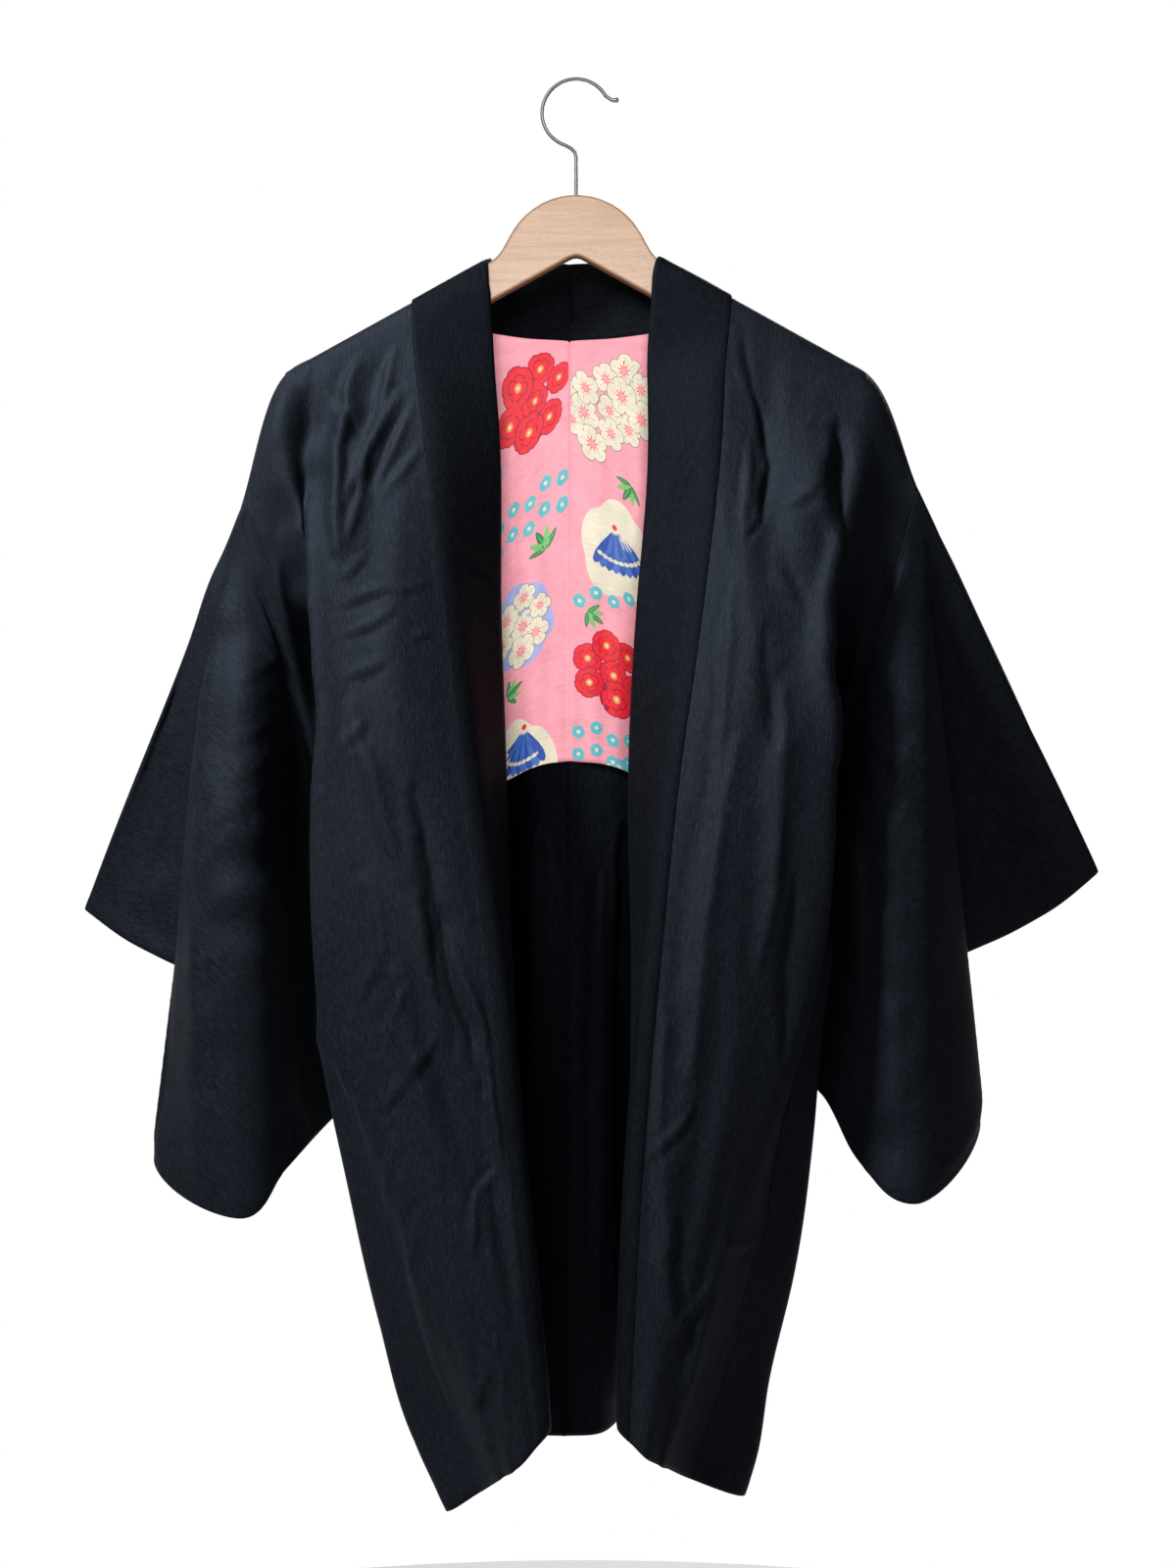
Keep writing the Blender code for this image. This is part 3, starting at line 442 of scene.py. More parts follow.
# Creases picked in the photograph: x and y of both ends in its pixels, then width, height and bow
# in millimetres. Heights are outwards, and bow bends the line.
PHOTO_CENTRE = (600, 800)
FRONT_DEPTH, SLEEVE_DEPTH, BAND_DEPTH = -0.055, 0.0, -0.03  # how far back the cloth that they lie on hangs
CREASE_PLACES = 4  # decimals: a tenth of a millimetre
SEEN_ON_FRONTS = (
    (398, 345, 372, 450, 8, 2.6, 1),
    (370, 448, 364, 495, 5, 2.6, 0.5),
    (366, 490, 350, 545, 5, 2.2, -1),
    (424, 398, 386, 478, 5, 2.4, 2),
    (386, 470, 381, 500, 4, 1.2, 0),
    (428, 443, 384, 503, 5, 2.0, -1),
    (338, 388, 360, 432, 7, -2.2, 1),
    (352, 420, 347, 505, 8, -2.0, -1),
    (343, 614, 398, 600, 4.5, 1.9, -2),
    (396, 602, 436, 592, 3.5, 1.2, 1),
    (350, 645, 402, 620, 4.5, 1.6, 1.5),
    (346, 588, 372, 566, 4, 1.3, 0),
    (418, 652, 441, 642, 3, 1.0, 0),
    (352, 690, 395, 672, 6, 1.2, 1),
    (348, 760, 372, 735, 6, 1.4, 0),
    (437, 915, 452, 1010, 7, -2.2, 1),
    (452, 1005, 470, 1100, 8, -2.0, -1),
    (455, 950, 500, 1085, 7, 2.8, -2),
    (500, 1080, 514, 1190, 6, 2.6, 1),
    (513, 1188, 488, 1215, 4, 1.8, 1),
    (489, 1212, 484, 1275, 5, 1.5, 1),
    (392, 1130, 445, 1058, 6, 1.8, -1),
    (418, 1005, 398, 1065, 7, 1.5, 1),
    (404, 1160, 394, 1235, 8, 1.6, 1),
    (432, 1235, 418, 1310, 7, 1.3, -1),
    (366, 1020, 392, 960, 7, 1.3, 1),
    (474, 1450, 508, 1360, 6, 2.2, 2),
    (506, 1352, 524, 1452, 5, 1.9, -1),
    (486, 1500, 504, 1455, 4, 1.2, 0),
    (760, 318, 776, 400, 7, -1.8, -1),
    (776, 395, 790, 470, 5, -2.2, -1),
    (790, 465, 780, 530, 5, -1.9, 1),
    (780, 528, 764, 548, 4, -1.3, 0),
    (747, 345, 741, 470, 5, 2.0, 0),
    (736, 470, 744, 560, 5, 1.7, 1),
    (768, 440, 760, 530, 5, 1.4, -1),
    (806, 512, 838, 488, 5, 1.4, 1),
    (800, 560, 826, 620, 7, -1.3, 1),
    (750, 600, 738, 725, 6, 1.5, 1),
    (742, 690, 728, 830, 6, 1.3, -1),
    (780, 640, 790, 760, 8, -1.2, 0),
    (658, 1178, 704, 1128, 5, 1.8, 1),
    (684, 1352, 726, 1306, 6, 1.8, -1),
    (736, 1264, 772, 1268, 6, 1.3, 3),
    (690, 1240, 700, 1340, 9, -1.4, 1),
    (812, 900, 800, 1080, 9, -1.6, 1),
    (700, 1420, 716, 1350, 6, 1.2, 0),
)
SEEN_ON_SLEEVES = (
    (256, 640, 292, 694, 4.5, 2.0, 1),
    (246, 632, 262, 658, 4, 1.4, 0),
    (240, 705, 296, 655, 6, 1.9, -1),
    (236, 760, 300, 708, 8, 2.2, 2),
    (222, 806, 304, 742, 8, 2.4, 2),
    (226, 850, 262, 806, 7, 1.8, 1),
    (216, 900, 250, 852, 8, 1.6, -1),
    (262, 905, 244, 990, 10, -2.0, 2),
    (214, 1000, 228, 1100, 9, 1.7, 1),
    (150, 760, 176, 706, 8, 1.8, 1),
    (178, 830, 200, 760, 9, -2.4, -1),
    (150, 930, 190, 850, 9, -2.6, 2),
    (118, 900, 160, 800, 10, 1.8, 1),
    (866, 640, 896, 745, 6, 2.0, 2),
    (880, 560, 905, 600, 5, 1.2, 0),
    (898, 738, 932, 808, 5, 2.0, 1),
    (944, 722, 914, 792, 5, 2.0, -1),
    (938, 798, 904, 872, 6, 2.2, 1),
    (930, 850, 950, 930, 7, 1.5, 1),
    (872, 900, 884, 1040, 10, -1.6, 2),
    (956, 1010, 930, 1080, 8, 1.5, 1),
    (905, 1120, 948, 1070, 8, 1.2, 1),
    (1000, 760, 980, 860, 12, 1.6, 2),
    (1046, 830, 1010, 900, 10, -1.5, 1),
)
SEEN_ON_BAND = (
    (724, 436, 684, 528, 5, 1.8, 1),
    (684, 526, 664, 566, 4, 1.2, 0),
    (706, 298, 668, 332, 5, 1.2, 0),
    (468, 560, 505, 590, 6, 0.9, 1),
    (478, 850, 520, 880, 6, 0.8, 1),
    (690, 700, 655, 730, 6, 0.9, 1),
    (455, 400, 500, 372, 6, 0.9, 0),
)


def from_photo(picked, depth):
    """Picked creases as rows in metres: from and to are across and down, then width, height and bow."""
    scale = (-CAMERA_AT[1] + depth) / FOCAL_PIXELS
    rows = []
    for x0, y0, x1, y1, *sizes in picked:
        ends = []
        for x, y in ((x0, y0), (x1, y1)):
            across, below = (x - PHOTO_CENTRE[0]) * scale, (y - PHOTO_CENTRE[1]) * scale
            ends += [CAMERA_AT[0] + across, -CAMERA_AT[2] + below]
        rows.append(tuple(round(value, CREASE_PLACES) for value in (*ends, *(size / 1000 for size in sizes))))
    return tuple(rows)


# Creases given in metres, seen from the front or the back: from and to, width, height, bow
FRONT_CREASES = (
    (-0.154, 0.205, -0.164, 0.335, 0.012, 0.005, 0.003),
    (-0.124, 0.225, -0.156, 0.295, 0.009, 0.0032, 0.002),
    (-0.15, 0.44, -0.115, 0.56, 0.011, 0.0026, 0.003),
    (-0.142, 0.56, -0.09, 0.76, 0.012, 0.003, -0.004),
    (-0.108, 0.5, -0.062, 0.7, 0.01, -0.003, 0.003),
    (-0.118, 0.76, -0.085, 0.92, 0.012, 0.0026, 0.003),
    (0.108, 0.47, 0.078, 0.69, 0.013, 0.003, 0.004),
    (0.142, 0.43, 0.124, 0.62, 0.012, 0.0026, -0.003),
    (0.056, 0.6, 0.064, 0.86, 0.011, 0.0024, 0.003),
    *from_photo(SEEN_ON_FRONTS, FRONT_DEPTH),
)
SLEEVE_FRONT_CREASES = from_photo(SEEN_ON_SLEEVES, SLEEVE_DEPTH)
COLLAR_CREASES = from_photo(SEEN_ON_BAND, BAND_DEPTH)
# Pleats of the back that show inside the opening: heights below 0 stand forwards
INNER_PLEATS = (
    (-0.0296, 0.53, -0.029, 0.94, 0.007, -0.006, 0.001),
    (-0.0135, 0.53, -0.0117, 0.94, 0.008, 0.0045, -0.001),
    (0.001, 0.54, 0, 0.93, 0.011, -0.0035, 0.001),
    (0.018, 0.56, 0.016, 0.88, 0.006, -0.003, 0.002),
    (0.033, 0.53, 0.03, 0.93, 0.008, 0.005, 0.001),
)
BACK_CREASES = (
    (-0.08, 0.21, -0.12, 0.36, 0.011, 0.002, 0.003),
    (-0.15, 0.26, -0.135, 0.43, 0.01, 0.0015, -0.004),
    (-0.05, 0.34, -0.06, 0.56, 0.012, 0.0018, 0.003),
    (-0.105, 0.56, -0.08, 0.82, 0.011, 0.0016, -0.004),
    (-0.035, 0.66, -0.04, 0.9, 0.01, 0.0016, 0.002),
    (-0.13, 0.39, -0.1, 0.42, 0.006, 0.001, 0.002),
    (0.085, 0.22, 0.125, 0.37, 0.011, 0.002, -0.003),
    (0.152, 0.26, 0.14, 0.42, 0.01, 0.0015, 0.004),
    (0.045, 0.32, 0.055, 0.54, 0.012, 0.0018, -0.003),
    (0.11, 0.58, 0.085, 0.84, 0.011, 0.0016, 0.004),
    (0.03, 0.63, 0.035, 0.91, 0.01, 0.0016, -0.002),
    (0.125, 0.43, 0.098, 0.45, 0.006, 0.001, -0.002),
)
# Broad roundings of the sleeves, and the short seam line beside the right one
ROUNDINGS = (
    (0.22, 0.33, 0.224, 0.72, 0.042, 0.013, 0.004),
    (-0.254, 0.33, -0.262, 0.76, 0.046, 0.011, -0.003),
    (-0.192, 0.36, -0.19, 0.72, 0.026, -0.008, 0.003),
    (-0.234, 0.33, -0.209, 0.374, 0.0035, -0.0018, 0.001),
)
# Narrow troughs where the side seams pull the fronts in
SIDE_SEAMS = (
    (0.166, 0.645, 0.127, 0.8, 0.0036, -0.0016, 0.001),
    (0.127, 0.795, 0.088, 0.96, 0.0036, -0.0016, 0.001),
    (-0.164, 0.655, -0.135, 0.81, 0.0036, -0.0014, -0.001),
    (-0.135, 0.805, -0.108, 0.96, 0.0036, -0.0014, -0.001),
)
# Deep valleys where the cloth falls back between a front and its sleeve
VALLEYS = (
    (-0.186, 0.225, -0.193, 0.35, 0.023, -0.012, 0.001),
    (-0.193, 0.33, -0.188, 0.49, 0.016, -0.014, 0.001),
    (0.182, 0.25, 0.188, 0.33, 0.012, -0.008, 0.001),
    (0.188, 0.33, 0.186, 0.47, 0.013, -0.012, 0.001),
)
SLEEVE_BACK_CREASES = (
    (-0.25, 0.39, -0.29, 0.56, 0.014, 0.0014, 0.004),
    (-0.225, 0.46, -0.235, 0.66, 0.013, 0.0012, -0.003),
    (0.255, 0.39, 0.295, 0.55, 0.014, 0.0014, -0.004),
    (0.23, 0.46, 0.245, 0.66, 0.013, 0.0012, 0.003),
)
# Where the left band's rows crowd as it comes over the arm: place, reach and how often they are evened
BAND_TURN, BAND_TURN_REACH, BAND_TURN_PASSES = (0.0590, -0.0110, -0.1440), 0.012, 14
# Soft upright folds of the lining: distance from the centre seam, width, height
LINING_FOLDS = {
    "right": ((0.014, 0.006, 0.0012), (0.031, 0.007, 0.0016), (0.047, 0.006, 0.0010)),
    "left": ((0.017, 0.007, 0.0015), (0.034, 0.006, 0.0012), (0.049, 0.006, 0.0010)),
}
FOLD_WANDER, FOLD_LUMPS = 0.004, 0.09  # how far they stray from upright
FOLD_GROWTH, FOLD_STEPS = 0.08, 8  # share below the neck over which they grow, and columns in from an edge

# The print's inks, its patches of ground, its clusters and its single flowers, in metres and degrees on
# the flat lining: out from the centre seam and down from the neck
LINE_WIDTH = 0.00030
GROUND_POINTS, GROUND_RINGS = 60, 7  # round a patch of ground, and inwards so that it follows the cloth
LOBE_DEPTH = 0.13  # of a patch of ground, as a share of its size
CLUSTER_LIFT = 4  # levels of ink between flowers that overlap
PACK_PITCH, PACK_ROW = 1.66, 0.87  # flowers' distance in sizes, and their rows' distance in that
PACK_JITTER = 0.24  # in sizes
PACK_REACH = 9  # flowers each way from a cluster's middle at most
INKS = {
    "pink": (0.88, 0.335, 0.405),
    "cream": (0.76, 0.68, 0.53),
    "turquoise": (0.115, 0.47, 0.53),
    "lilac": (0.36, 0.40, 0.72),
    "blue": (0.030, 0.085, 0.38),
    "iris": (0.060, 0.160, 0.52),
    "red": (0.80, 0.018, 0.030),
    "crimson": (0.36, 0.004, 0.040),
    "orange": (0.80, 0.300, 0.075),
    "green": (0.040, 0.230, 0.075),
    "pale_green": (0.20, 0.50, 0.16),
    "line": (0.100, 0.085, 0.070),
}
GROUNDS = (
    # ink, half, out, down, length, width, turn, lobes
    ("lilac", "right", 0.038, 0.186, 0.052, 0.052, 20, 6),
    ("cream", "right", 0.036, 0.3, 0.09, 0.05, 95, 5),
    ("turquoise", "left", 0.04, 0.318, 0.052, 0.05, 10, 6),
    ("cream", "left", 0.036, 0.136, 0.07, 0.048, 85, 5),
    ("turquoise", "right", 0.1, 0.09, 0.08, 0.045, 40, 7),
    ("cream", "right", 0.14, 0.22, 0.09, 0.06, 110, 6),
    ("turquoise", "left", 0.11, 0.11, 0.08, 0.05, 60, 7),
    ("cream", "left", 0.15, 0.23, 0.08, 0.06, 100, 6),
)
CLUSTERS = (
    # kind, half, out, down, length, width, turn, size, share left out
    ("camellia", "right", 0.03, 0.03, 0.07, 0.06, 10, 0.0125, 0),
    ("cherry", "right", 0.036, 0.186, 0.052, 0.044, 20, 0.011, 0),
    ("cherry", "left", 0.03, 0.036, 0.08, 0.048, 140, 0.0115, 0),
    ("camellia", "left", 0.03, 0.226, 0.062, 0.048, 80, 0.012, 0),
    ("cherry", "left", 0.038, 0.318, 0.046, 0.04, 10, 0.011, 0),
    ("camellia", "right", 0.1, 0.09, 0.08, 0.05, 40, 0.0125, 0.1),
    ("cherry", "right", 0.16, 0.14, 0.09, 0.05, 95, 0.012, 0.1),
    ("cherry", "left", 0.11, 0.11, 0.09, 0.06, 60, 0.012, 0.1),
    ("camellia", "left", 0.1, 0.235, 0.08, 0.05, 30, 0.0125, 0.1),
)
MOTIFS = (
    # kind, half, out, down, size, turn
    ("garland", "right", 0.006, 0.094, 0.056, 8),
    ("garland", "right", 0.006, 0.112, 0.056, 8),
    ("leaves", "right", 0.018, 0.14, 0.018, 300),
    ("fan", "right", 0.034, 0.262, 0.034, 80),
    ("fan", "right", 0.018, 0.318, 0.03, 110),
    ("leaves", "right", 0.05, 0.232, 0.015, 200),
    ("fan", "left", 0.034, 0.12, 0.034, 80),
    ("leaves", "left", 0.05, 0.082, 0.016, 120),
    ("garland", "left", 0.006, 0.176, 0.052, -8),
    ("garland", "left", 0.006, 0.27, 0.052, 6),
    ("garland", "left", 0.006, 0.286, 0.052, 6),
    ("leaves", "left", 0.012, 0.186, 0.014, 30),
    ("fan", "right", 0.13, 0.23, 0.04, 60),
    ("fan", "left", 0.15, 0.25, 0.04, 80),
)

# How the fronts round forward between the collar seam and the outer fold, in metres
SEAM_BACK = 0.009
FOLD_FORWARD = 0.003
BULGE = 0.010
BULGE_SHARE = 0.42  # of the way from the seam to the fold

# The studio: world strength from the front's direction to the back's, and lamps
WORLD_RANGE = (0.55, 0.86, 0.11, 1.0)
FLOOR_HEIGHT, FLOOR_RADIUS, FLOOR_SIDES = -1.9, 2.2, 96
KEY_AT, KEY_COLOUR = (-1.22, -1.05, 0.82), (0.89, 0.955, 1.0)
LIGHTS = (
    # name, place, target, size, watts, colour, spread in degrees, what it lights
    ("key", KEY_AT, (0.07, 0, -0.26), (0.4, 0.5), 16, KEY_COLOUR, 72, "lit_by_key"),
    ("collar", KEY_AT, (0.07, 0, -0.2), (0.4, 0.5), 4.2, KEY_COLOUR, 60, "lit_collar"),
    ("front", (-0.7, -2.4, 0.8), (0, 0, -0.4), (0.9, 0.9), 17, (0.98, 0.99, 1), 180, None),
    ("rear", (0.3, 2.4, 0.9), (0, 0, -0.5), (2, 1.4), 70, (1, 1, 1), 180, None),
    ("inside", (0, -2.2, -0.1), (0, 0.05, -0.35), (0.8, 0.8), 48, (1, 1, 0.99), 180, "lit_inside"),
)


# Numbers and curves


def read(line, column, at):
    """A column's values at shares: a cubic through the rows that never passes beyond them."""
    x, y = line["share"], line[column]
    at = np.clip(at, x[0], x[-1])
    step = np.diff(x)
    rise = np.diff(y) / step
    mean = (rise[:-1] * step[1:] + rise[1:] * step[:-1]) / (step[1:] + step[:-1])
    limit = 2 * np.minimum(abs(rise[:-1]), abs(rise[1:]))
    inner = np.where(rise[:-1] * rise[1:] > 0, np.sign(mean) * np.minimum(abs(mean), limit), 0)
    slope = np.concatenate([rise[:1], inner, rise[-1:]])
    i = np.clip(np.searchsorted(x, at, side="right") - 1, 0, len(step) - 1)
    t = (at - x[i]) / step[i]
    start = (1 + 2 * t) * (1 - t) ** 2 * y[i] + t * (1 - t) ** 2 * step[i] * slope[i]
    end = t * t * (3 - 2 * t) * y[i + 1] - t * t * (1 - t) * step[i] * slope[i + 1]
    return start + end


def ease(t):
    """0 to 1, level at both ends."""
    t = np.clip(t, 0.0, 1.0)
    return t * t * (3 - 2 * t)


def unit(vector):
    return vector / np.maximum(np.linalg.norm(vector, axis=-1, keepdims=True), 1e-12)


def place(line, half, share):
    """The point of a line of one half at a share of its drop."""
    out, back, down = (read(line[half], column, share) for column in ("out", "back", "down"))
    return np.array([SIDES[half] * out, back, -down])


def over_arm(points, above=CLOTH_ABOVE_ARM):
    """Points of cloth lifted clear of the hanger's arms where they cross above them."""
    x, y, z = points[:, 0], points[:, 1], points[:, 2]
    top = -ARM_TOP - ARM_SLOPE * (abs(x) - HEAD_OUT) + above
    near = (abs(y) < ARM_CLEAR) & (abs(x) <= ARM_END) & (z >= top - ARM_HIGH)
    lifted = np.maximum(z, top - 0.5 * ARM_CLEAR * (abs(y) / ARM_CLEAR) ** 3)
    return np.stack([x, y, np.where(near, lifted, z)], axis=1)


def along_line(points):
    """How far along a line each of its points is."""
    return np.concatenate([[0], np.cumsum(np.linalg.norm(np.diff(points, axis=0), axis=1))])


def centripetal(points, knots, t):
    """Catmull-Rom points between the middle two of four points."""

    def mix(first, second, i, j):
        return ((knots[j] - t) * first + (t - knots[i]) * second) / (knots[j] - knots[i])

    ends = [mix(points[i], points[i + 1], i, i + 1) for i in range(3)]
    return mix(mix(ends[0], ends[1], 0, 2), mix(ends[1], ends[2], 1, 3), 1, 2)


def smooth_row(controls, count, start_trim=0.0, end_trim=0.0, before=None, after=None):
    """count points evenly spaced along a smooth curve through control points.

    before and after are points of the neighbouring pieces, so that a seam runs on without a corner.
    """
    kept = [controls[0]]
    for control in controls[1:-1]:
        if min(np.linalg.norm(control - other) for other in (kept[-1], controls[-1])) > 0.002:
            kept.append(control)
    kept = np.array(kept + [controls[-1]])
    first = 2 * kept[0] - kept[1] if before is None else before
    last = 2 * kept[-1] - kept[-2] if after is None else after
    padded = np.vstack([first, kept, last])
    knots = np.concatenate([[0], np.cumsum(np.linalg.norm(np.diff(padded, axis=0), axis=1) ** 0.5)])
    dense = [
        centripetal(
            padded[i - 1 : i + 3],
            knots[i - 1 : i + 3],
            np.linspace(knots[i], knots[i + 1], 20, endpoint=False)[:, None],
        )
        for i in range(1, len(padded) - 2)
    ]
    dense = np.concatenate([*dense, kept[-1:]])
    length = along_line(dense)
    at = np.linspace(start_trim, length[-1] - end_trim, count)
    return np.stack([np.interp(at, length, dense[:, axis]) for axis in range(3)], axis=1)


# The sleeve: a flat bag bent into a cone whose point is the end of the shoulder


def flat_reach(turn):
    """Distance on the flat sleeve from the shoulder point to its outline, at turns in radians."""
    straight = np.minimum(
        SLEEVE_WIDTH / np.maximum(np.cos(turn), 1e-6), SLEEVE_DROP / np.maximum(np.sin(turn), 1e-6)
    )
    centre = (SLEEVE_WIDTH - SLEEVE_CORNER, SLEEVE_DROP - SLEEVE_CORNER)
    along = centre[0] * np.cos(turn) + centre[1] * np.sin(turn)
    beside = centre[0] * np.sin(turn) - centre[1] * np.cos(turn)
    on_arc = along + np.sqrt(np.maximum(SLEEVE_CORNER**2 - beside**2, 0))
    rounded = (abs(beside) < SLEEVE_CORNER) & (on_arc * np.cos(turn) > centre[0])
    return np.where(rounded & (on_arc * np.sin(turn) > centre[1]), on_arc, straight)


def ray(half, lean, swing):
    """Unit vectors that lean outwards and swing backwards from straight down, in degrees."""
    lean, swing = np.radians(lean), np.radians(swing)
    return unit(np.stack([SIDES[half] * np.tan(lean), np.tan(swing), -np.ones_like(lean)], axis=-1))


def sleeve_middle(half, across, down):
    """Points midway between a sleeve's layers, from their places on the flat sleeve."""
    out, back, depth = SHOULDER_POINT[half]
    origin = np.array([SIDES[half] * out, back, -depth])
    distance = np.hypot(across, down)
    rays, turn = SLEEVE_RAYS[half], np.arctan2(down, across + 1e-9)
    share = np.degrees(turn)
    folded = ray(half, read(rays, "lean", share), read(rays, "swing", share))
    mix = share / 90
    plain = ray(
        half,
        rays["lean"][0] * (1 - mix) + rays["lean"][-1] * mix,
        rays["swing"][0] * (1 - mix) + rays["swing"][-1] * mix,
    )
    formed = ease((distance - FOLDS_START) / (FOLDS_FULL - FOLDS_START))[..., None]
    toward = unit(plain * (1 - formed) + folded * formed)
    reach = read(rays, "reach", share) * distance / flat_reach(turn)
    return origin + toward * reach[..., None]


def sleeve_layer(half, across, down, side):
    """Points of a sleeve's front (-1) or back (1) layer."""
    across, down = np.asarray(across, float), np.asarray(down, float)
    near, far = np.maximum(across - SLOPE_STEP, 0.0), across + SLOPE_STEP
    high, low = np.maximum(down - SLOPE_STEP, 0.0), down + SLOPE_STEP
    along = sleeve_middle(half, far, down) - sleeve_middle(half, near, down)
    below = sleeve_middle(half, across, low) - sleeve_middle(half, across, high)
    normal = unit(np.cross(along, below)) * SIDES[half]
    armhole = ease(1 - across / MOUTH_REACH) * ease(down / MOUTH_FADE)
    armhole = armhole * ease(1 - (down - ARMHOLE) / ARMHOLE_FADE)
    cuff = ease((across - SLEEVE_WIDTH + MOUTH_REACH) / MOUTH_REACH)
    cuff = cuff * ease(down / MOUTH_FADE) * ease((CUFF_OPEN * CUFF_OPENING - down) / MOUTH_FADE)
    gap = (LAYERS + (MOUTH - LAYERS) * np.maximum(armhole, cuff)) * ease(np.hypot(across, down) / POINT_FADE)
    return sleeve_middle(half, across, down) + side * gap[..., None] * normal


def armhole_edge(half, share, side):
    """Point of the sleeve's armhole edge and the direction from it into the body."""
    down = ARMHOLE * min(share, ARMHOLE_SHARE) / ARMHOLE_SHARE
    point = sleeve_layer(half, 0.0, down, side)
    return point, unit(point - sleeve_layer(half, 0.004, down, side))


# The body's rows of weft

EDGE_LEAD = 0.010  # cloth that leads straight into the armhole's edge
SHOULDER_CLEAR = 0.0002  # of that edge from the sleeve at the shoulder
LEAD_FADE, CLEAR_FADE = 0.06, 0.04  # shares of the body's side below the shoulder
CLEAR_FROM, CLEAR_GROWTH = 0.25, 0.10  # and where it grows to what the gusset's top needs
BACK_CLEAR = 1.5  # times as much behind as in front
UNDERARM_FADE = 0.10  # share of the body's side below the armhole over which the seams come free
UNDERARM_TRIM = 0.0020  # off each side of the gusset's top


def below_armhole(share):
    """0 at the armhole's end, 1 where the side seams' own tables start; it leaves the armhole fast."""
    left = 1 - min(max((share - ARMHOLE_SHARE) / (SEAMS_FROM - ARMHOLE_SHARE), 0.0), 1.0)
    return 1 - left**2


@lru_cache(maxsize=None)
def side_edge(half, share, side):
    """Outer edge of a front (-1) or back (1) row, with the control point that leads into it."""
    seam = FRONT_SIDE_SEAM if side < 0 else BACK_SIDE_SEAM
    armhole, inward = armhole_edge(half, share, side)
    lead = EDGE_LEAD * ease(share / LEAD_FADE)
    clear = SHOULDER_CLEAR * (1 - ease(share / CLEAR_FADE))
    clear += UNDERARM_CLEAR * ease((share - CLEAR_FROM) / CLEAR_GROWTH)
    clear *= BACK_CLEAR if side > 0 else 1
    armhole = armhole + inward * clear
    if share <= ARMHOLE_SHARE:
        return over_arm((armhole + inward * lead)[None])[0], armhole
    away = below_armhole(share)
    edge = armhole * (1 - away) + place(seam, half, share) * away
    return edge + inward * lead * (1 - ease((share - ARMHOLE_SHARE) / UNDERARM_FADE)), edge


def seam_trim(lead, edge, after):
    """What a wall loses at a seam where the cloth turns from one panel to the next."""
    turn = unit(edge - lead) @ unit(after - edge)
    return SEAM_GAP / 2 + WALL * sqrt(max(1 - turn, 0.0) / 2)


@lru_cache(maxsize=None)
def gusset_fold(half, share):
    """The fold down the middle of the gusset, which starts midway between the armhole's two ends."""
    front, back = side_edge(half, share, -1)[1], side_edge(half, share, 1)[1]
    away = below_armhole(share)
    top = (front + back) / 2 - np.array([SIDES[half] * 2 * UNDERARM_CLEAR, 0, 0])
    return top * (1 - away) + place(GUSSET_FOLD, half, share) * away


def pressed(half, row, share):
    """A front row with its broad soft folds pressed in."""
    folds, across = FRONT_FOLDS[half], np.linspace(0, 1, len(row))
    fade = ease(across / 0.08) * ease((1 - across) / 0.2) * ease(share / 0.05)
    for i in range(len(folds["depth"])):
        start = np.array([folds["from_across"][i], folds["from_down"][i]])
        along = np.array([folds["to_across"][i], folds["to_down"][i]]) - start
        offset = np.stack([across, np.full(len(row), share)], axis=1) - start
        part = np.clip(offset @ along / (along @ along), 0.0, 1.0)
        apart = np.linalg.norm(offset - part[:, None] * along, axis=1) / folds["width"][i]
        row[:, 1] += folds["depth"][i] * ease(1 - apart) * np.sin(pi * part) * fade
    return row


@lru_cache(maxsize=None)
def front_row(half, share, count):
    """Points across the front from the collar seam to the armhole or the gusset."""
    formed = ease((share - 0.05) / 0.25)
    inner = place(COLLAR_SEAM, half, share) + [0, SEAM_BACK * formed, 0]
    corner = place(CORNER_FOLD, half, share) - [0, FOLD_FORWARD * formed, 0]
    lead, edge = side_edge(half, share, -1)
    panel = inner * (1 - BULGE_SHARE) + corner * BULGE_SHARE - [0, BULGE * formed, 0]
    outer = inner * 0.2 + corner * 0.8 - [0, 0.5 * BULGE * formed, 0]
    gap, after = SEAM_GAP, None
    if share > ARMHOLE_SHARE:
        after = gusset_fold(half, share)
        gap = seam_trim(corner, edge, after)
    row = smooth_row([inner, panel, outer, corner, lead, edge], count, end_trim=gap, after=after)
    return pressed(half, over_arm(row), share)


@lru_cache(maxsize=None)
def back_row(half, share, count):
    """Points across the back from the neckline or the centre seam to the armhole or the gusset."""
    lead, edge = side_edge(half, share, 1)
    lines = (NECK_AND_CENTRE, BACK_SHELF, BACK_PEAK, BACK_FLANK)
    controls = [*(place(line, half, share) for line in lines), lead, edge]
    gap, after = SEAM_GAP, None
    if share > ARMHOLE_SHARE:
        after = gusset_fold(half, share)
        gap = seam_trim(controls[3], edge, after)
    start = SEAM_GAP if share >= NECK_SHARE else 0
    return over_arm(smooth_row(controls, count, start_trim=start, end_trim=gap, after=after))


def gusset_row(half, share, count):
    """Points across the gusset from the front panel's seam to the back panel's."""
    front_lead, front = side_edge(half, share, -1)
    back_lead, back = side_edge(half, share, 1)
    if np.linalg.norm(front_lead - front) < 0.002:
        front_lead, back_lead = place(CORNER_FOLD, half, share), place(BACK_FLANK, half, share)
    fold = gusset_fold(half, share)
    underarm = UNDERARM_TRIM * ease(1 - (share - ARMHOLE_SHARE) / UNDERARM_FADE)
    front_trim = seam_trim(place(CORNER_FOLD, half, share), front, fold) + underarm
    back_trim = seam_trim(place(BACK_FLANK, half, share), back, fold) + underarm
    return smooth_row([front, fold, back], count, front_trim, back_trim, front_lead, back_lead)


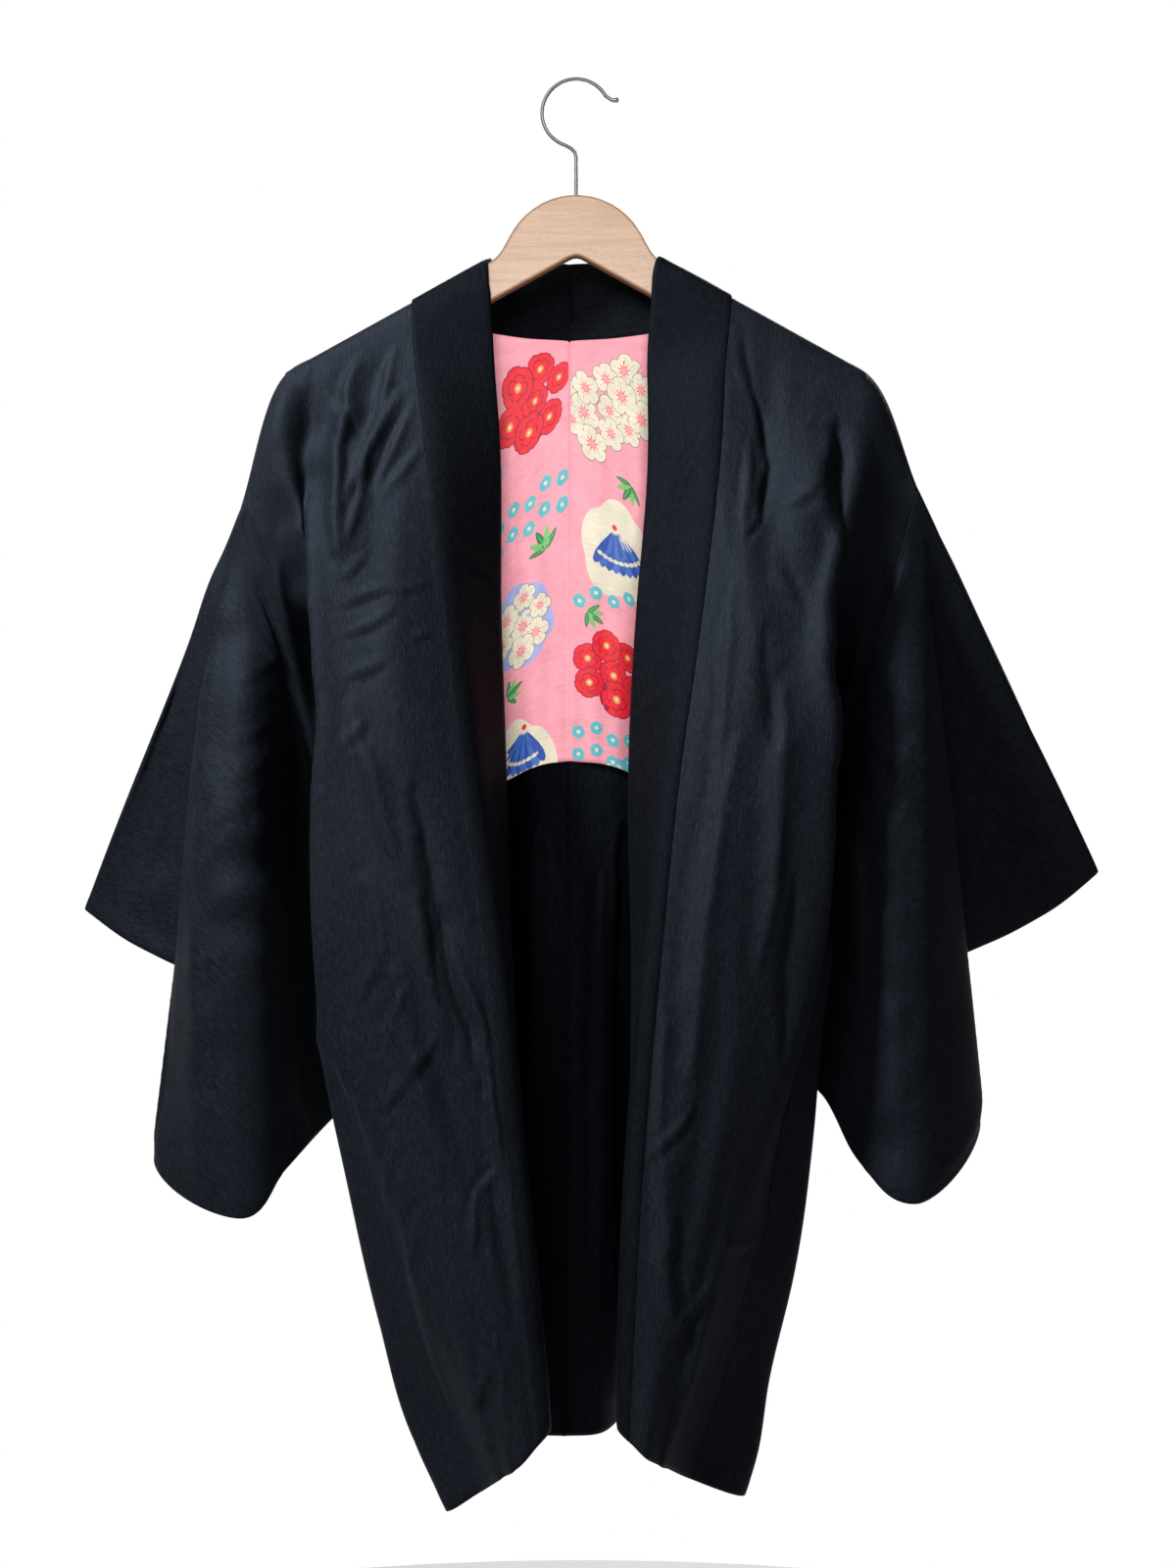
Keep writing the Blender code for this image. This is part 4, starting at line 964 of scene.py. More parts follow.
def band_row(half, share, behind, count):
    """Points across the collar band from its seam to its free edge."""
    band = BAND_BACK if behind else BAND_FRONT[half]
    row = back_row(half, share, BODY_COLUMNS) if behind else front_row(half, share, BODY_COLUMNS)
    turn, rise = radians(read(band, "turn", share)), radians(read(band, "rise", share))
    stand = np.array([-SIDES[half] * cos(turn) * cos(rise), sin(turn) * cos(rise), sin(rise)])
    flat = 0.0 if behind else ease((share - 0.012) / 0.08)
    leave = unit(unit(row[0] - row[6]) * flat + stand * (1 - flat))
    seam = row[0]
    if behind and share >= NECK_SHARE:
        seam = seam * [0, 1, 1] + [place(NECK_AND_CENTRE, half, share)[0], 0, 0]
    ridge = BAND_RIDGE * flat
    start = seam - leave * COLLAR_LAP
    bend = start + leave * ridge
    turned = bend + unit(leave + stand) * ridge
    end = turned + stand * (COLLAR_WIDTH - 2 * ridge)
    return over_arm(smooth_row([start, bend, turned, (turned + end) / 2, end], count), BAND_ABOVE_ARM)


# Drape: slow unevenness, and listed creases


LATTICE = rng.uniform(-1, 1, (32, 32, 32))


def noise(points, size, stretch=(1, 1, 1)):
    """Smooth noise from -1 to 1 at points, with lumps of about that size in metres."""
    at = points / (size * np.array(stretch)) + 100
    cell = np.floor(at).astype(int)
    part = at - cell
    part = part * part * (3 - 2 * part)
    total = 0
    for corner in np.ndindex(2, 2, 2):
        weight = np.prod(np.where(corner, part, 1 - part), axis=-1)
        total = total + weight * LATTICE[tuple(((cell + corner) % 32).reshape(-1, 3).T)].reshape(weight.shape)
    return total


SEEN_FROM, CREASE_FADE = 0.05, 0.35  # how far cloth faces a side for its creases to start, and to grow
WAVER_SIZE, WAVER = 0.022, 0.35  # lumps that a crease's line wavers by, and how much
WAVER_WIDTH = 0.007  # a crease wavers as much as one of this width at most
CREASE_WIDTH, CREASE_HEIGHT = 0.78, 1.15  # shares of a row's own width and height
END_WIDTH, MORE_WIDTH = 0.55, 0.45  # of a crease at its ends, and what its middle has more
TAPER_FROM, TAPER_SPAN = 0.12, 0.76  # the part of a sine that its height follows
HEIGHT_WAVER = 0.25
BROAD, SHARP, HOLLOW = 0.65, 0.35, 0.45  # a crease across: its swell, its crest and the hollow beside it
SHARPNESS, HOLLOW_AT = 2.4, 1.5
FRONT_GAIN, SLEEVE_GAIN = 1.2, 0.4  # how strongly the fronts' and the sleeves' creases show


def creased(points, normals, creases, facing):
    """Heights of listed creases over cloth that faces the front (-1), the back (1) or any way (0)."""
    seen = np.ones(normals.shape[:2])
    if facing:
        seen = ease((normals[..., 1] * facing - SEEN_FROM) / CREASE_FADE)
    waver = noise(points, WAVER_SIZE)
    total = np.zeros(seen.shape)
    for x0, down0, x1, down1, width, height, bow in creases:
        start, end = np.array([x0, -down0]), np.array([x1, -down1])
        length = np.linalg.norm(end - start)
        along = (end - start) / length
        off = points[..., [0, 2]] - start
        part = (off @ along) / length
        beside = off @ np.array([along[1], -along[0]])
        inside = np.clip(part, 0, 1)
        beside = beside - bow * 4 * inside * (1 - inside) + WAVER * min(width, WAVER_WIDTH) * waver
        past = (part - inside) * length
        s = np.hypot(beside, past) / (CREASE_WIDTH * width * (END_WIDTH + MORE_WIDTH * np.sin(pi * inside)))
        taper = np.sin(pi * np.clip(TAPER_FROM + TAPER_SPAN * inside, 0, 1))
        fade = CREASE_HEIGHT * taper * (1 + HEIGHT_WAVER * waver)
        broad, sharp = np.exp(-(s**2)), np.exp(-((SHARPNESS * s) ** 2))
        hollow = np.exp(-((np.sign(beside) * s - HOLLOW_AT) ** 2))
        total += height * fade * (BROAD * broad + SHARP * sharp - HOLLOW * hollow)
    return total * seen


def normals_of(grid, turned):
    """Unit normals of a grid of points."""
    normal = np.cross(np.gradient(grid, axis=0), np.gradient(grid, axis=1))
    return unit(normal) * turned


def from_edge(rows, columns, ends="first last top bottom"):
    """How far in each grid place is from the named edges, in steps."""
    i, j = np.meshgrid(np.arange(rows), np.arange(columns), indexing="ij")
    each = {"top": i, "bottom": rows - 1 - i, "first": j, "last": columns - 1 - j}
    return np.min([each[name] for name in ends.split()], axis=0)


def rolled(grid, normals, first=None, last=None):
    """A grid with its first or last edge carried on: turned in at a seam, or tucked under its neighbour."""
    parts = [grid]
    for steps, edge, inner in ((last, -1, -3), (first, 0, 2)):
        if steps is None:
            continue
        out, strips = unit(grid[:, edge] - grid[:, inner]), []
        for side, sunk in steps:
            strips.append((grid[:, edge] + out * side - normals[:, edge] * sunk)[:, None])
        parts = parts + strips if edge else strips[::-1] + parts
    return np.concatenate(parts, axis=1)


def carried(places, first=None, last=None):
    """Flat places for a grid that rolled() has carried on."""
    return np.pad(places, ((0, 0), (len(first or ()), len(last or ())), (0, 0)), mode="edge")


# Steps by which rolled() carries a grid on: outwards, and down from its face
ROLL = ((0.00020, 0.00030), (0.00028, 0.00090), (0.00015, 0.00170))
TUCK = ((0.00080, 0.00035), (0.00170, 0.00090), (0.00260, 0.00150))
SEAM = ((0.00012, 0.00015), (0.00018, 0.00045), (0.00010, 0.00100))


# Meshes


def add_mesh(name, points, faces, finishes, cloth=None, slots=None):
    """A smooth mesh; cloth holds each point's place on the flat cloth, in metres."""
    mesh = bpy.data.meshes.new(name)
    mesh.from_pydata(points, [], faces)
    for finish in finishes:
        mesh.materials.append(finish)
    mesh.shade_smooth()
    if cloth is not None:
        corners = np.empty(len(mesh.loops), np.int32)
        mesh.loops.foreach_get("vertex_index", corners)
        mesh.uv_layers.new(name="cloth").data.foreach_set("uv", cloth[corners].astype(np.float32).ravel())
    if slots is not None:
        mesh.polygons.foreach_set("material_index", np.asarray(slots, np.int32))
    made = bpy.data.objects.new(name, mesh)
    bpy.context.scene.collection.objects.link(made)
    return made


def ring_faces(first, rings, count):
    """Quads between rings of count points, whose points start at index first."""
    faces = []
    for k in range(rings - 1):
        for m in range(count):
            n, low = (m + 1) % count, first + k * count
            faces.append((low + m, low + n, low + count + n, low + count + m))
    return faces


def flat_places(grid):
    """Each grid point's place on the flat cloth: metres across its row and metres along the middle column."""
    across = np.concatenate(
        [np.zeros((len(grid), 1)), np.cumsum(np.linalg.norm(np.diff(grid, axis=1), axis=2), axis=1)], axis=1
    )
    down = along_line(grid[:, grid.shape[1] // 2])
    return np.stack([across, np.broadcast_to(down[:, None], across.shape)], axis=2)


def shell(name, grid, normals, half, finish, cloth, open_edge=0.5):
    """A thin closed shell on both sides of a grid, with rounded edges."""
    rows, columns = grid.shape[:2]
    inset = from_edge(rows, columns)
    thick = half * np.where(inset == 0, open_edge, np.where(inset == 1, 0.9, 1.0))
    outer, inner = grid + normals * thick[..., None], grid - normals * thick[..., None]
    index = np.arange(rows * columns).reshape(rows, columns)
    a, b, c, d = index[:-1, :-1], index[:-1, 1:], index[1:, 1:], index[1:, :-1]
    quads = np.stack([a, b, c, d], axis=2).reshape(-1, 4)
    back = rows * columns
    faces = [quads, quads[:, ::-1] + back]
    for rim in (index[:, 0], index[::-1, -1], index[-1], index[0, ::-1]):
        faces.append(np.stack([rim[:-1], rim[1:], rim[1:] + back, rim[:-1] + back], axis=1))
    points = np.concatenate([outer.reshape(-1, 3), inner.reshape(-1, 3)])
    across, along = points[quads[:, 2]] - points[quads[:, 0]], points[quads[:, 3]] - points[quads[:, 1]]
    if (np.cross(across, along) * normals.reshape(-1, 3)[quads[:, 0]]).sum() < 0:
        faces = [sides[:, ::-1] for sides in faces]
    places = np.concatenate([cloth.reshape(-1, 2)] * 2)
    return add_mesh(name, points.tolist(), np.concatenate(faces).tolist(), [finish], places)


def piece(made, node):
    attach(made, "root")
    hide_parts(node)
    return made


# The cloth pieces


BROAD_LUMPS, BROAD_HEIGHT = 0.085, 0.0012
SMALL_LUMPS, SMALL_HEIGHT = 0.032, 0.00045
SWAY_LUMPS, SWAY_HEIGHT = 0.10, 0.0016  # of both layers of a sleeve together
RIPPLE_LUMPS, RIPPLE_HEIGHT = 0.035, 0.0005
AT_FOLD, OFF_FOLD = 0.4, 0.6  # how much of a sleeve's creases shows at its folds, and how much more off them
SHOULDER_STILL, SHOULDER_FADE = 0.015, 0.06  # from the shoulder point, where a sleeve has none of it
BAND_LUMPS, BAND_HEIGHT = 0.06, 0.0008
BAND_STILL, BAND_FADE, BAND_STEPS = 0.20, 0.08, 8  # depth above which the band has none, and in from its seam
BODY_STILL, BODY_FADE, CREASE_TOP = 0.05, 0.15, 0.05  # shares by the shoulder line
GUSSET_TOP, GUSSET_NEXT, GUSSET_STEPS = 0.005, 0.008, 4  # shares below the armhole where its rows start
HELD_STEPS = 7  # in from a seam over which the body and the sleeves take up their unevenness
TOP_SHARES = np.linspace(0.0, NECK_SHARE, 22)
SHARES = np.concatenate([TOP_SHARES[1:], np.linspace(NECK_SHARE, 1.0, 216)[1:]])


def drape(grid, normals, amount=1.0):
    """Slow unevenness of hung crepe."""
    broad = noise(grid, BROAD_LUMPS, (1, 1, 1.8)) * BROAD_HEIGHT
    small = noise(grid + 0.4, SMALL_LUMPS, (1, 1, 2.2)) * SMALL_HEIGHT
    return normals * ((broad + small) * amount)[..., None]


@lru_cache(maxsize=None)
def body_grid(half):
    """Points and normals of one half of the body, from the front hem over the shoulder to the back hem."""
    front = [front_row(half, share, BODY_COLUMNS) for share in SHARES[::-1]]
    behind = [back_row(half, share, BODY_COLUMNS) for share in (0.0, *SHARES)]
    grid = np.array(front + behind)
    normals = normals_of(grid, -SIDES[half])
    shares = np.concatenate([SHARES[::-1], [0.0], SHARES])
    hang = ease((shares - BODY_STILL) / BODY_FADE)[:, None, None]
    edge = ease(from_edge(*grid.shape[:2], "first last") / HELD_STEPS)[..., None]
    before = np.arange(len(shares))[:, None] < len(SHARES)
    fronts = FRONT_GAIN * creased(grid, normals, FRONT_CREASES, -1)
    fronts = (fronts + creased(grid, normals, VALLEYS + SIDE_SEAMS, 0)) * before
    backs = (creased(grid, normals, BACK_CREASES, 1) + creased(grid, normals, INNER_PLEATS, 0)) * ~before
    grid = grid + drape(grid, normals) * hang * edge
    grid = grid + normals * ((fronts + backs) * edge[..., 0] * ease(shares / CREASE_TOP)[:, None])[..., None]
    return grid, normals_of(grid, -SIDES[half]), shares


def shares_of_back(count):
    """The share of each row of a body grid, and 0 for the rows of its front."""
    shares = np.zeros(count)
    shares[len(SHARES) + 1 :] = SHARES
    return shares


def body(half):
    grid, normals = body_grid(half)[:2]
    cloth = carried(flat_places(grid), TUCK, TUCK)
    wide = rolled(grid, normals, TUCK, TUCK)
    centre = shares_of_back(len(grid)) >= NECK_SHARE
    wide[centre] = rolled(grid, normals, SEAM, TUCK)[centre]
    made = shell(f"jacket_body_{half}", wide, normals_of(wide, -SIDES[half]), CREPE_HALF, crepe, cloth)
    piece(made, f"body_{half}")


def gusset(half):
    shares = [ARMHOLE_SHARE + GUSSET_TOP, *SHARES[SHARES > ARMHOLE_SHARE + GUSSET_NEXT]]
    grid = np.array([gusset_row(half, share, GUSSET_COLUMNS) for share in shares])
    normals = normals_of(grid, SIDES[half])
    edge = ease(from_edge(*grid.shape[:2], "first last") / GUSSET_STEPS)[..., None]
    grid = grid + drape(grid, normals, 0.5) * edge
    normals = normals_of(grid, SIDES[half])
    cloth = carried(flat_places(grid), SEAM, SEAM)
    wide = rolled(grid, normals, SEAM, SEAM)
    made = shell(f"jacket_gusset_{half}", wide, normals_of(wide, SIDES[half]), CREPE_HALF, crepe, cloth)
    piece(made, f"gusset_{half}")


def sleeve_flat():
    """Places on a flat sleeve, in rows from its inner edge to the cuff and round the bottom corner.

    Also how far down the cuff and round the corner each row ends, and how far along its row each place is.
    """
    steps = np.linspace(0, 1, SLEEVE_ROWS)
    steps = np.concatenate([[0.0], np.array(SLEEVE_TURN), steps[steps > SLEEVE_TURN[-1] * TURN_APART]])
    low = 1 - np.array(SLEEVE_TURN[::-1]) * LOW_TURN
    steps = np.concatenate([steps[steps < low[0]], low, [1.0]])
    starts = SLEEVE_DROP * (ROWS_EVEN * steps + ROWS_LATE * steps**3)
    cuff = steps * (SLEEVE_DROP - SLEEVE_CORNER + SLEEVE_CORNER * pi / 2)
    along = np.linspace(0, 1, SLEEVE_COLUMNS)
    straight = SLEEVE_DROP - SLEEVE_CORNER
    turn = np.clip((cuff - straight) / SLEEVE_CORNER, 0, None)
    corner_out = SLEEVE_WIDTH - SLEEVE_CORNER + SLEEVE_CORNER * np.cos(turn)
    corner = np.stack([corner_out, np.minimum(cuff, straight) + SLEEVE_CORNER * np.sin(turn)], axis=1)
    flat = np.stack([np.zeros_like(starts), starts], axis=1)[:, None] * (1 - along)[None, :, None]
    return flat + corner[:, None] * along[None, :, None], cuff, along


def sleeve_layers(half):
    """A sleeve's front and back rows with their flat places, and how far from a fold they are, 0 to 1."""
    flat, cuff, along = sleeve_flat()
    across, down = flat[..., 0], flat[..., 1]
    turned = np.minimum(down / SLEEVE_TURN_REACH, 1)
    edge_left = np.minimum(np.linalg.norm(flat - flat[-1:], axis=2) / SLEEVE_TURN_REACH, 1)
    off_fold = np.minimum(turned, edge_left)
    rounded = np.sqrt(1 - (1 - off_fold) ** 2)
    below = ease((cuff - CUFF_OPENING + SEWN_ABOVE) / SEWN_OVER)
    sewn = ease((along[None] - SEWN_FROM) / SEWN_REACH) * below[:, None]
    middle = sleeve_middle(half, across, down)
    layers = []
    for side in (-1, 1):
        off = sleeve_layer(half, across, down, side) - middle
        gap = np.linalg.norm(off, axis=2, keepdims=True)
        closed = sewn[..., None] * (CREPE_HALF * SEWN_APART) / np.maximum(gap, 1e-4) * rounded[..., None]
        kept = rounded[..., None] * (1 - sewn[..., None]) + closed
        layers.append(middle + off * kept)
    return layers, across, down, ease(off_fold)


def sleeve(half):
    """A sleeve: one sheet from the bottom of its front over the top fold to the bottom of its back."""
    (front, behind), across, down, fold = sleeve_layers(half)
    grid = np.concatenate([front[::-1], behind[1:]])
    places = np.concatenate([np.stack([across, -down], axis=2)[::-1], np.stack([across, down], axis=2)[1:]])
    fold = np.concatenate([fold[::-1], fold[1:]])
    facing = normals_of(grid, -SIDES[half])
    away = ease(from_edge(*grid.shape[:2], "first last") / HELD_STEPS)
    shoulder = ease((np.hypot(places[..., 0], places[..., 1]) - SHOULDER_STILL) / SHOULDER_FADE)
    before = np.arange(len(grid))[:, None] < len(front)
    ridges = SLEEVE_GAIN * creased(grid, facing, SLEEVE_FRONT_CREASES, -1)
    ridges = (ridges + creased(grid, facing, ROUNDINGS, -1)) * before
    ridges = ridges + creased(grid, facing, SLEEVE_BACK_CREASES, 1) * ~before
    facade = grid * [1, 0, 1]
    sway = noise(facade, SWAY_LUMPS, (1, 1, 2.0)) * SWAY_HEIGHT
    sway = sway + noise(facade + 0.3, RIPPLE_LUMPS, (1, 1, 2)) * RIPPLE_HEIGHT
    lift = np.where(before, 1.0, -1.0) * sway + ridges * (AT_FOLD + OFF_FOLD * fold)
    grid = grid + facing * (lift * away * shoulder)[..., None]
    facing = normals_of(grid, -SIDES[half])
    wide, places = rolled(grid, facing, SEAM), carried(places, SEAM)
    made = shell(f"jacket_sleeve_{half}", wide, normals_of(wide, -SIDES[half]), CREPE_HALF, crepe, places)
    piece(made, f"sleeve_{half}")


def collar():
    rows = []
    for half in SIDES:
        side = [band_row(half, share, False, COLLAR_COLUMNS) for share in SHARES[::-1]]
        side += [band_row(half, share, True, COLLAR_COLUMNS) for share in TOP_SHARES]
        rows += side if half == "right" else side[-2::-1]
    grid = np.array(rows)
    near = np.exp(-(np.linalg.norm(grid - BAND_TURN, axis=2) / BAND_TURN_REACH) ** 2)[1:-1, :, None]
    for _ in range(BAND_TURN_PASSES):
        grid[1:-1] += ((grid[:-2] + grid[2:]) / 2 - grid[1:-1]) * near
    normals = normals_of(grid, -1)
    edge = ease(from_edge(*grid.shape[:2], "first") / BAND_STEPS)
    hang = ease((-grid[..., 2] - BAND_STILL) / BAND_FADE)
    uneven = noise(grid, BAND_LUMPS, (1, 1, 2.5)) * BAND_HEIGHT * edge
    lift = creased(grid, normals, COLLAR_CREASES, -1) + uneven
    grid = grid + normals * (lift * hang)[..., None]
    normals = normals_of(grid, -1)
    cloth = carried(flat_places(grid), ROLL)
    wide = rolled(grid, normals, ROLL)
    made = shell("jacket_collar", wide, normals_of(wide, -1), COLLAR_HALF, crepe, cloth, open_edge=0.55)
    piece(made, "collar")


@lru_cache(maxsize=None)
def lining_grid(half):
    """Points and normals of the printed lining, laid on the inside of the back."""
    grid, normals, shares = body_grid(half)
    behind = slice(len(SHARES), None)
    grid, normals, shares = grid[behind], normals[behind], shares[behind]
    held = (shares >= LINING_TOP) & (shares <= LINING_BOTTOM)
    grid, normals, shares = grid[held], normals[held], shares[held]
    columns = int(BODY_COLUMNS * LINING_COLUMNS_SHARE)
    grid, normals = grid[:, :columns], normals[:, :columns]
    low = ease((shares - NECK_SHARE) / FOLD_GROWTH)[:, None]
    folds = np.zeros(grid.shape[:2])
    for out, width, height in LINING_FOLDS[half]:
        wander = FOLD_WANDER * noise(grid * [0, 0, 1] + out, FOLD_LUMPS)
        beside = (abs(grid[..., 0] + CENTRE_OUT) - out - wander) / width
        folds += height * np.exp(-(beside**2))
    folds = folds * low * ease(from_edge(*grid.shape[:2], "first last") / FOLD_STEPS)
    thick = 0.5 * (WALL + LINING_WALL) + LINING_GAP
    grid = grid - normals * (thick + folds)[..., None]
    seamed = shares >= NECK_SHARE
    grid[seamed, 0, 0] = -CENTRE_OUT + SIDES[half] * CENTRE_GAP
    return grid, normals_of(grid, SIDES[half])


def lining(half):
    grid, normals = lining_grid(half)
    cloth, wide = carried(flat_places(grid), SEAM), rolled(grid, normals, SEAM)
    facing = normals_of(wide, SIDES[half])
    made = shell(f"jacket_lining_{half}", wide, facing, LINING_HALF, silk["pink"], cloth)
    piece(made, f"lining_{half}")
    print_on(half)


# The print: flowers drawn on the flat lining, then laid on it


def axes(turn):
    """Directions along a turn on the flat lining and beside it."""
    return np.array([cos(turn), sin(turn)]), np.array([-sin(turn), cos(turn)])


def turned_about(centre, along, beside, turn):
    way, side = axes(turn)
    return np.array(centre) + along[:, None] * way + beside[:, None] * side


def oval(centre, length, width, turn, blunt=0.0, count=12):
    """Outline of an oval, fuller towards its end where blunt is above 0."""
    around = np.linspace(0, 2 * pi, count, endpoint=False)
    along, beside = 0.5 * length * np.cos(around), 0.5 * width * np.sin(around) * (1 + blunt * np.cos(around))
    return turned_about(centre, along, beside, turn)


def petals(centre, count, inner, outer, width, turn, blunt=0.35):
    """Outlines of petals round a centre."""
    found = []
    for i in range(count):
        angle = turn + 2 * pi * i / count
        way = axes(angle)[0]
        found.append(oval(centre + way * (inner + outer) / 2, outer - inner, width, angle, blunt))
    return found


def disc(centre, radius, count=14):
    return oval(centre, 2 * radius, 2 * radius, 0.0, count=count)


def lobed(centre, length, width, turn, lobes, depth, seed):
    """Outline of a cloud-like patch of ground."""
    local = np.random.default_rng(seed)
    around = np.linspace(0, 2 * pi, GROUND_POINTS, endpoint=False)
    swell = 1 + depth * np.abs(np.sin(lobes * around / 2 + local.uniform(0, 3)))
    swell = swell * (1 + 0.10 * np.sin(2 * around + local.uniform(0, 6)))
    along, beside = 0.5 * length * np.cos(around) * swell, 0.5 * width * np.sin(around) * swell
    return turned_about(centre, along, beside, turn)


def outlined(at, count, inner, outer, width, turn, ink, level, blunt):
    """Petals in an ink, each with a fine dark line round it and a vein."""
    middle, reach = inner + 0.55 * (outer - inner), 0.2 * outer
    narrow = width - 2 * LINE_WIDTH
    drawn = [("line", level, p) for p in petals(at, count, inner, outer, width, turn, blunt)]
    drawn += [(ink, level + 1, p) for p in petals(at, count, inner, outer - LINE_WIDTH, narrow, turn, blunt)]
    veins = petals(at, count, middle - reach, middle + reach, 0.6 * LINE_WIDTH, turn)
    return drawn + [("line", level + 2, p) for p in veins]


def leaf(at, size, turn, ink):
    """Long leaf with a paler rib."""
    middle = at + axes(turn)[0] * size / 2
    rib = oval(middle, 0.8 * size, 0.035 * size, turn, 0.0, 8)
    return [(ink, 1, oval(middle, size, 0.30 * size, turn, -0.25)), ("pale_green", 2, rib)]


def leaves(at, size, turn):
    """Five leaves that fan out from one point."""
    drawn = []
    for k in range(-2, 3):
        drawn += leaf(at, size * (1 - 0.1 * abs(k)), turn + 0.55 * k, ("green", "pale_green")[k % 2])
    return drawn


def packed(centre, length, width, turn, size, local):
    """Places a little apart from one another inside an oval, each with a number that its neighbours lack."""
    way, side = axes(turn)
    pitch, found = PACK_PITCH * size, []
    for i in range(-PACK_REACH, PACK_REACH + 1):
        for j in range(-PACK_REACH, PACK_REACH + 1):
            along, beside = pitch * (i + 0.5 * (j % 2)), pitch * PACK_ROW * j
            if (2 * along / length) ** 2 + (2 * beside / width) ** 2 > 1:
                continue
            moved = local.uniform(-PACK_JITTER, PACK_JITTER, 2) * size
            spot = np.array(centre) + way * (along + moved[0]) + side * (beside + moved[1])
            found.append((spot, (i + 2 * (j % 2) + j // 2) % 3))
    return found


def cherry(at, size, turn):
    """Five broad pale petals and a ring of small red stamens."""
    drawn = outlined(at, 5, 0.05 * size, size, 0.86 * size, turn, "cream", 0, 0.45)
    drawn.append(("pink", 4, disc(at, 0.26 * size)))
    return drawn + [("red", 5, p) for p in petals(at, 9, 0.14 * size, 0.42 * size, 0.05 * size, turn)]


def camellia(at, size, turn):
    """Two rings of round red petals with crimson edges and a yellow middle."""
    rings = (
        # ink, petals, from, to, width, turn, all in shares of the size but the turn
        ("crimson", 6, 0.1, 1.0, 0.94, 0.0),
        ("red", 6, 0.1, 0.94, 0.84, 0.0),
        ("crimson", 4, 0.05, 0.62, 0.62, 0.5),
        ("red", 4, 0.05, 0.56, 0.52, 0.5),
    )
    drawn = []
    for level, (ink, count, inner, outer, width, more) in enumerate(rings):
        found = petals(at, count, inner * size, outer * size, width * size, turn + more, 0.4)
        drawn += [(ink, level, p) for p in found]
    return drawn + [("orange", 4, disc(at, 0.22 * size)), ("cream", 5, disc(at, 0.10 * size))]


def fan(at, size, turn):
    """Open folding fan of blue blades with a pale band across them."""
    drawn = []
    for k in range(9):
        angle = turn + 0.17 * (k - 4)
        way = axes(angle)[0]
        blade = oval(at + way * 0.56 * size, 0.88 * size, 0.17 * size, angle, 0.75)
        drawn.append((("blue", "iris")[k % 2], 1 + k, blade))
        drawn.append(("cream", 11 + k % 2, oval(at + way * 0.74 * size, 0.09 * size, 0.13 * size, angle)))
    return drawn + [("red", 13, disc(at, 0.06 * size, 10))]


def garland(at, size, turn):
    """Row of small turquoise blossoms, set apart, each with a cream heart."""
    (way, side), drawn = axes(turn), []
    for k in range(5):
        centre = at + way * size * k / 4 + side * 0.05 * size * (-1) ** k
        reach = 0.095 * size
        drawn += [("turquoise", 1, p) for p in petals(centre, 5, 0, reach, reach, turn + k, 0.3)]
        drawn.append(("cream", 2, disc(centre, 0.028 * size, 10)))
    return drawn


FLOWERS = {"cherry": cherry, "camellia": camellia, "leaves": leaves, "fan": fan, "garland": garland}


def cluster(kind, centre, length, width, turn, size, left_out, seed):
    """Flowers of one kind packed over a patch of ground, with some left out."""
    local, drawn = np.random.default_rng(seed), []
    for spot, shift in packed(centre, length, width, turn, size, local):
        within = 2 * np.linalg.norm((spot - np.array(centre)) / (0.5 * (length + width))) < 0.65
        if within and local.uniform() < left_out:
            continue
        shapes = FLOWERS[kind](spot, size * local.uniform(0.82, 1.12), local.uniform(0, 6))
        drawn += [(ink, level + CLUSTER_LIFT * shift, outline) for ink, level, outline in shapes]
    return drawn


def above_neck(rows, out, up):
    """The lining's point that far out from its centre seam and up from the neck's row, inside its edge."""
    away = np.array([abs(row[:, 0] + CENTRE_OUT) for row in rows])
    places = [[np.interp(out, far, row[:, axis]) for axis in range(3)] for far, row in zip(away, rows)]
    places = np.array(places)
    climb = along_line(places)
    most = np.interp(np.interp(out, away[:, 0], np.arange(len(rows))), np.arange(len(rows)), climb)
    up = np.clip(up, 0, max(most - PRINT_MARGIN, 0))
    return [np.interp(up, climb, places[:, axis]) for axis in range(3)]


def laid(grid, normals, above, outline, level, rings):
    """An outline's points, filled with rings, laid on the lining at a level of ink."""
    centre = outline.mean(axis=0)
    parts = [centre + (outline - centre) * (k / rings) for k in range(rings, 0, -1)] + [centre[None]]
    flat = np.concatenate(parts)
    flat[:, 0] = np.clip(flat[:, 0], PRINT_FROM, PRINT_TO)
    flat[:, 1] = np.minimum(flat[:, 1], LINING_DROP - PRINT_MARGIN)
    drop = along_line(grid[:, DROP_COLUMN])
    row = np.interp(flat[:, 1], drop, np.arange(len(grid)))
    i = np.minimum(row.astype(int), len(grid) - 2)
    step = np.linalg.norm(np.diff(grid, axis=1), axis=2).mean(axis=1)
    column = np.clip(flat[:, 0] / step[i], 0, grid.shape[1] - 1.001)
    j = column.astype(int)
    s, t = (row - i)[:, None], (column - j)[:, None]
    at, facing = (
        (v[i, j] * (1 - t) + v[i, j + 1] * t) * (1 - s) + (v[i + 1, j] * (1 - t) + v[i + 1, j + 1] * t) * s
        for v in (grid, normals)
    )
    for k in np.flatnonzero(flat[:, 1] < 0):
        at[k] = above_neck(above, flat[k, 0], -flat[k, 1])
    return at + unit(facing) * (LINING_HALF + INK_FIRST + INK_STEP * level), flat


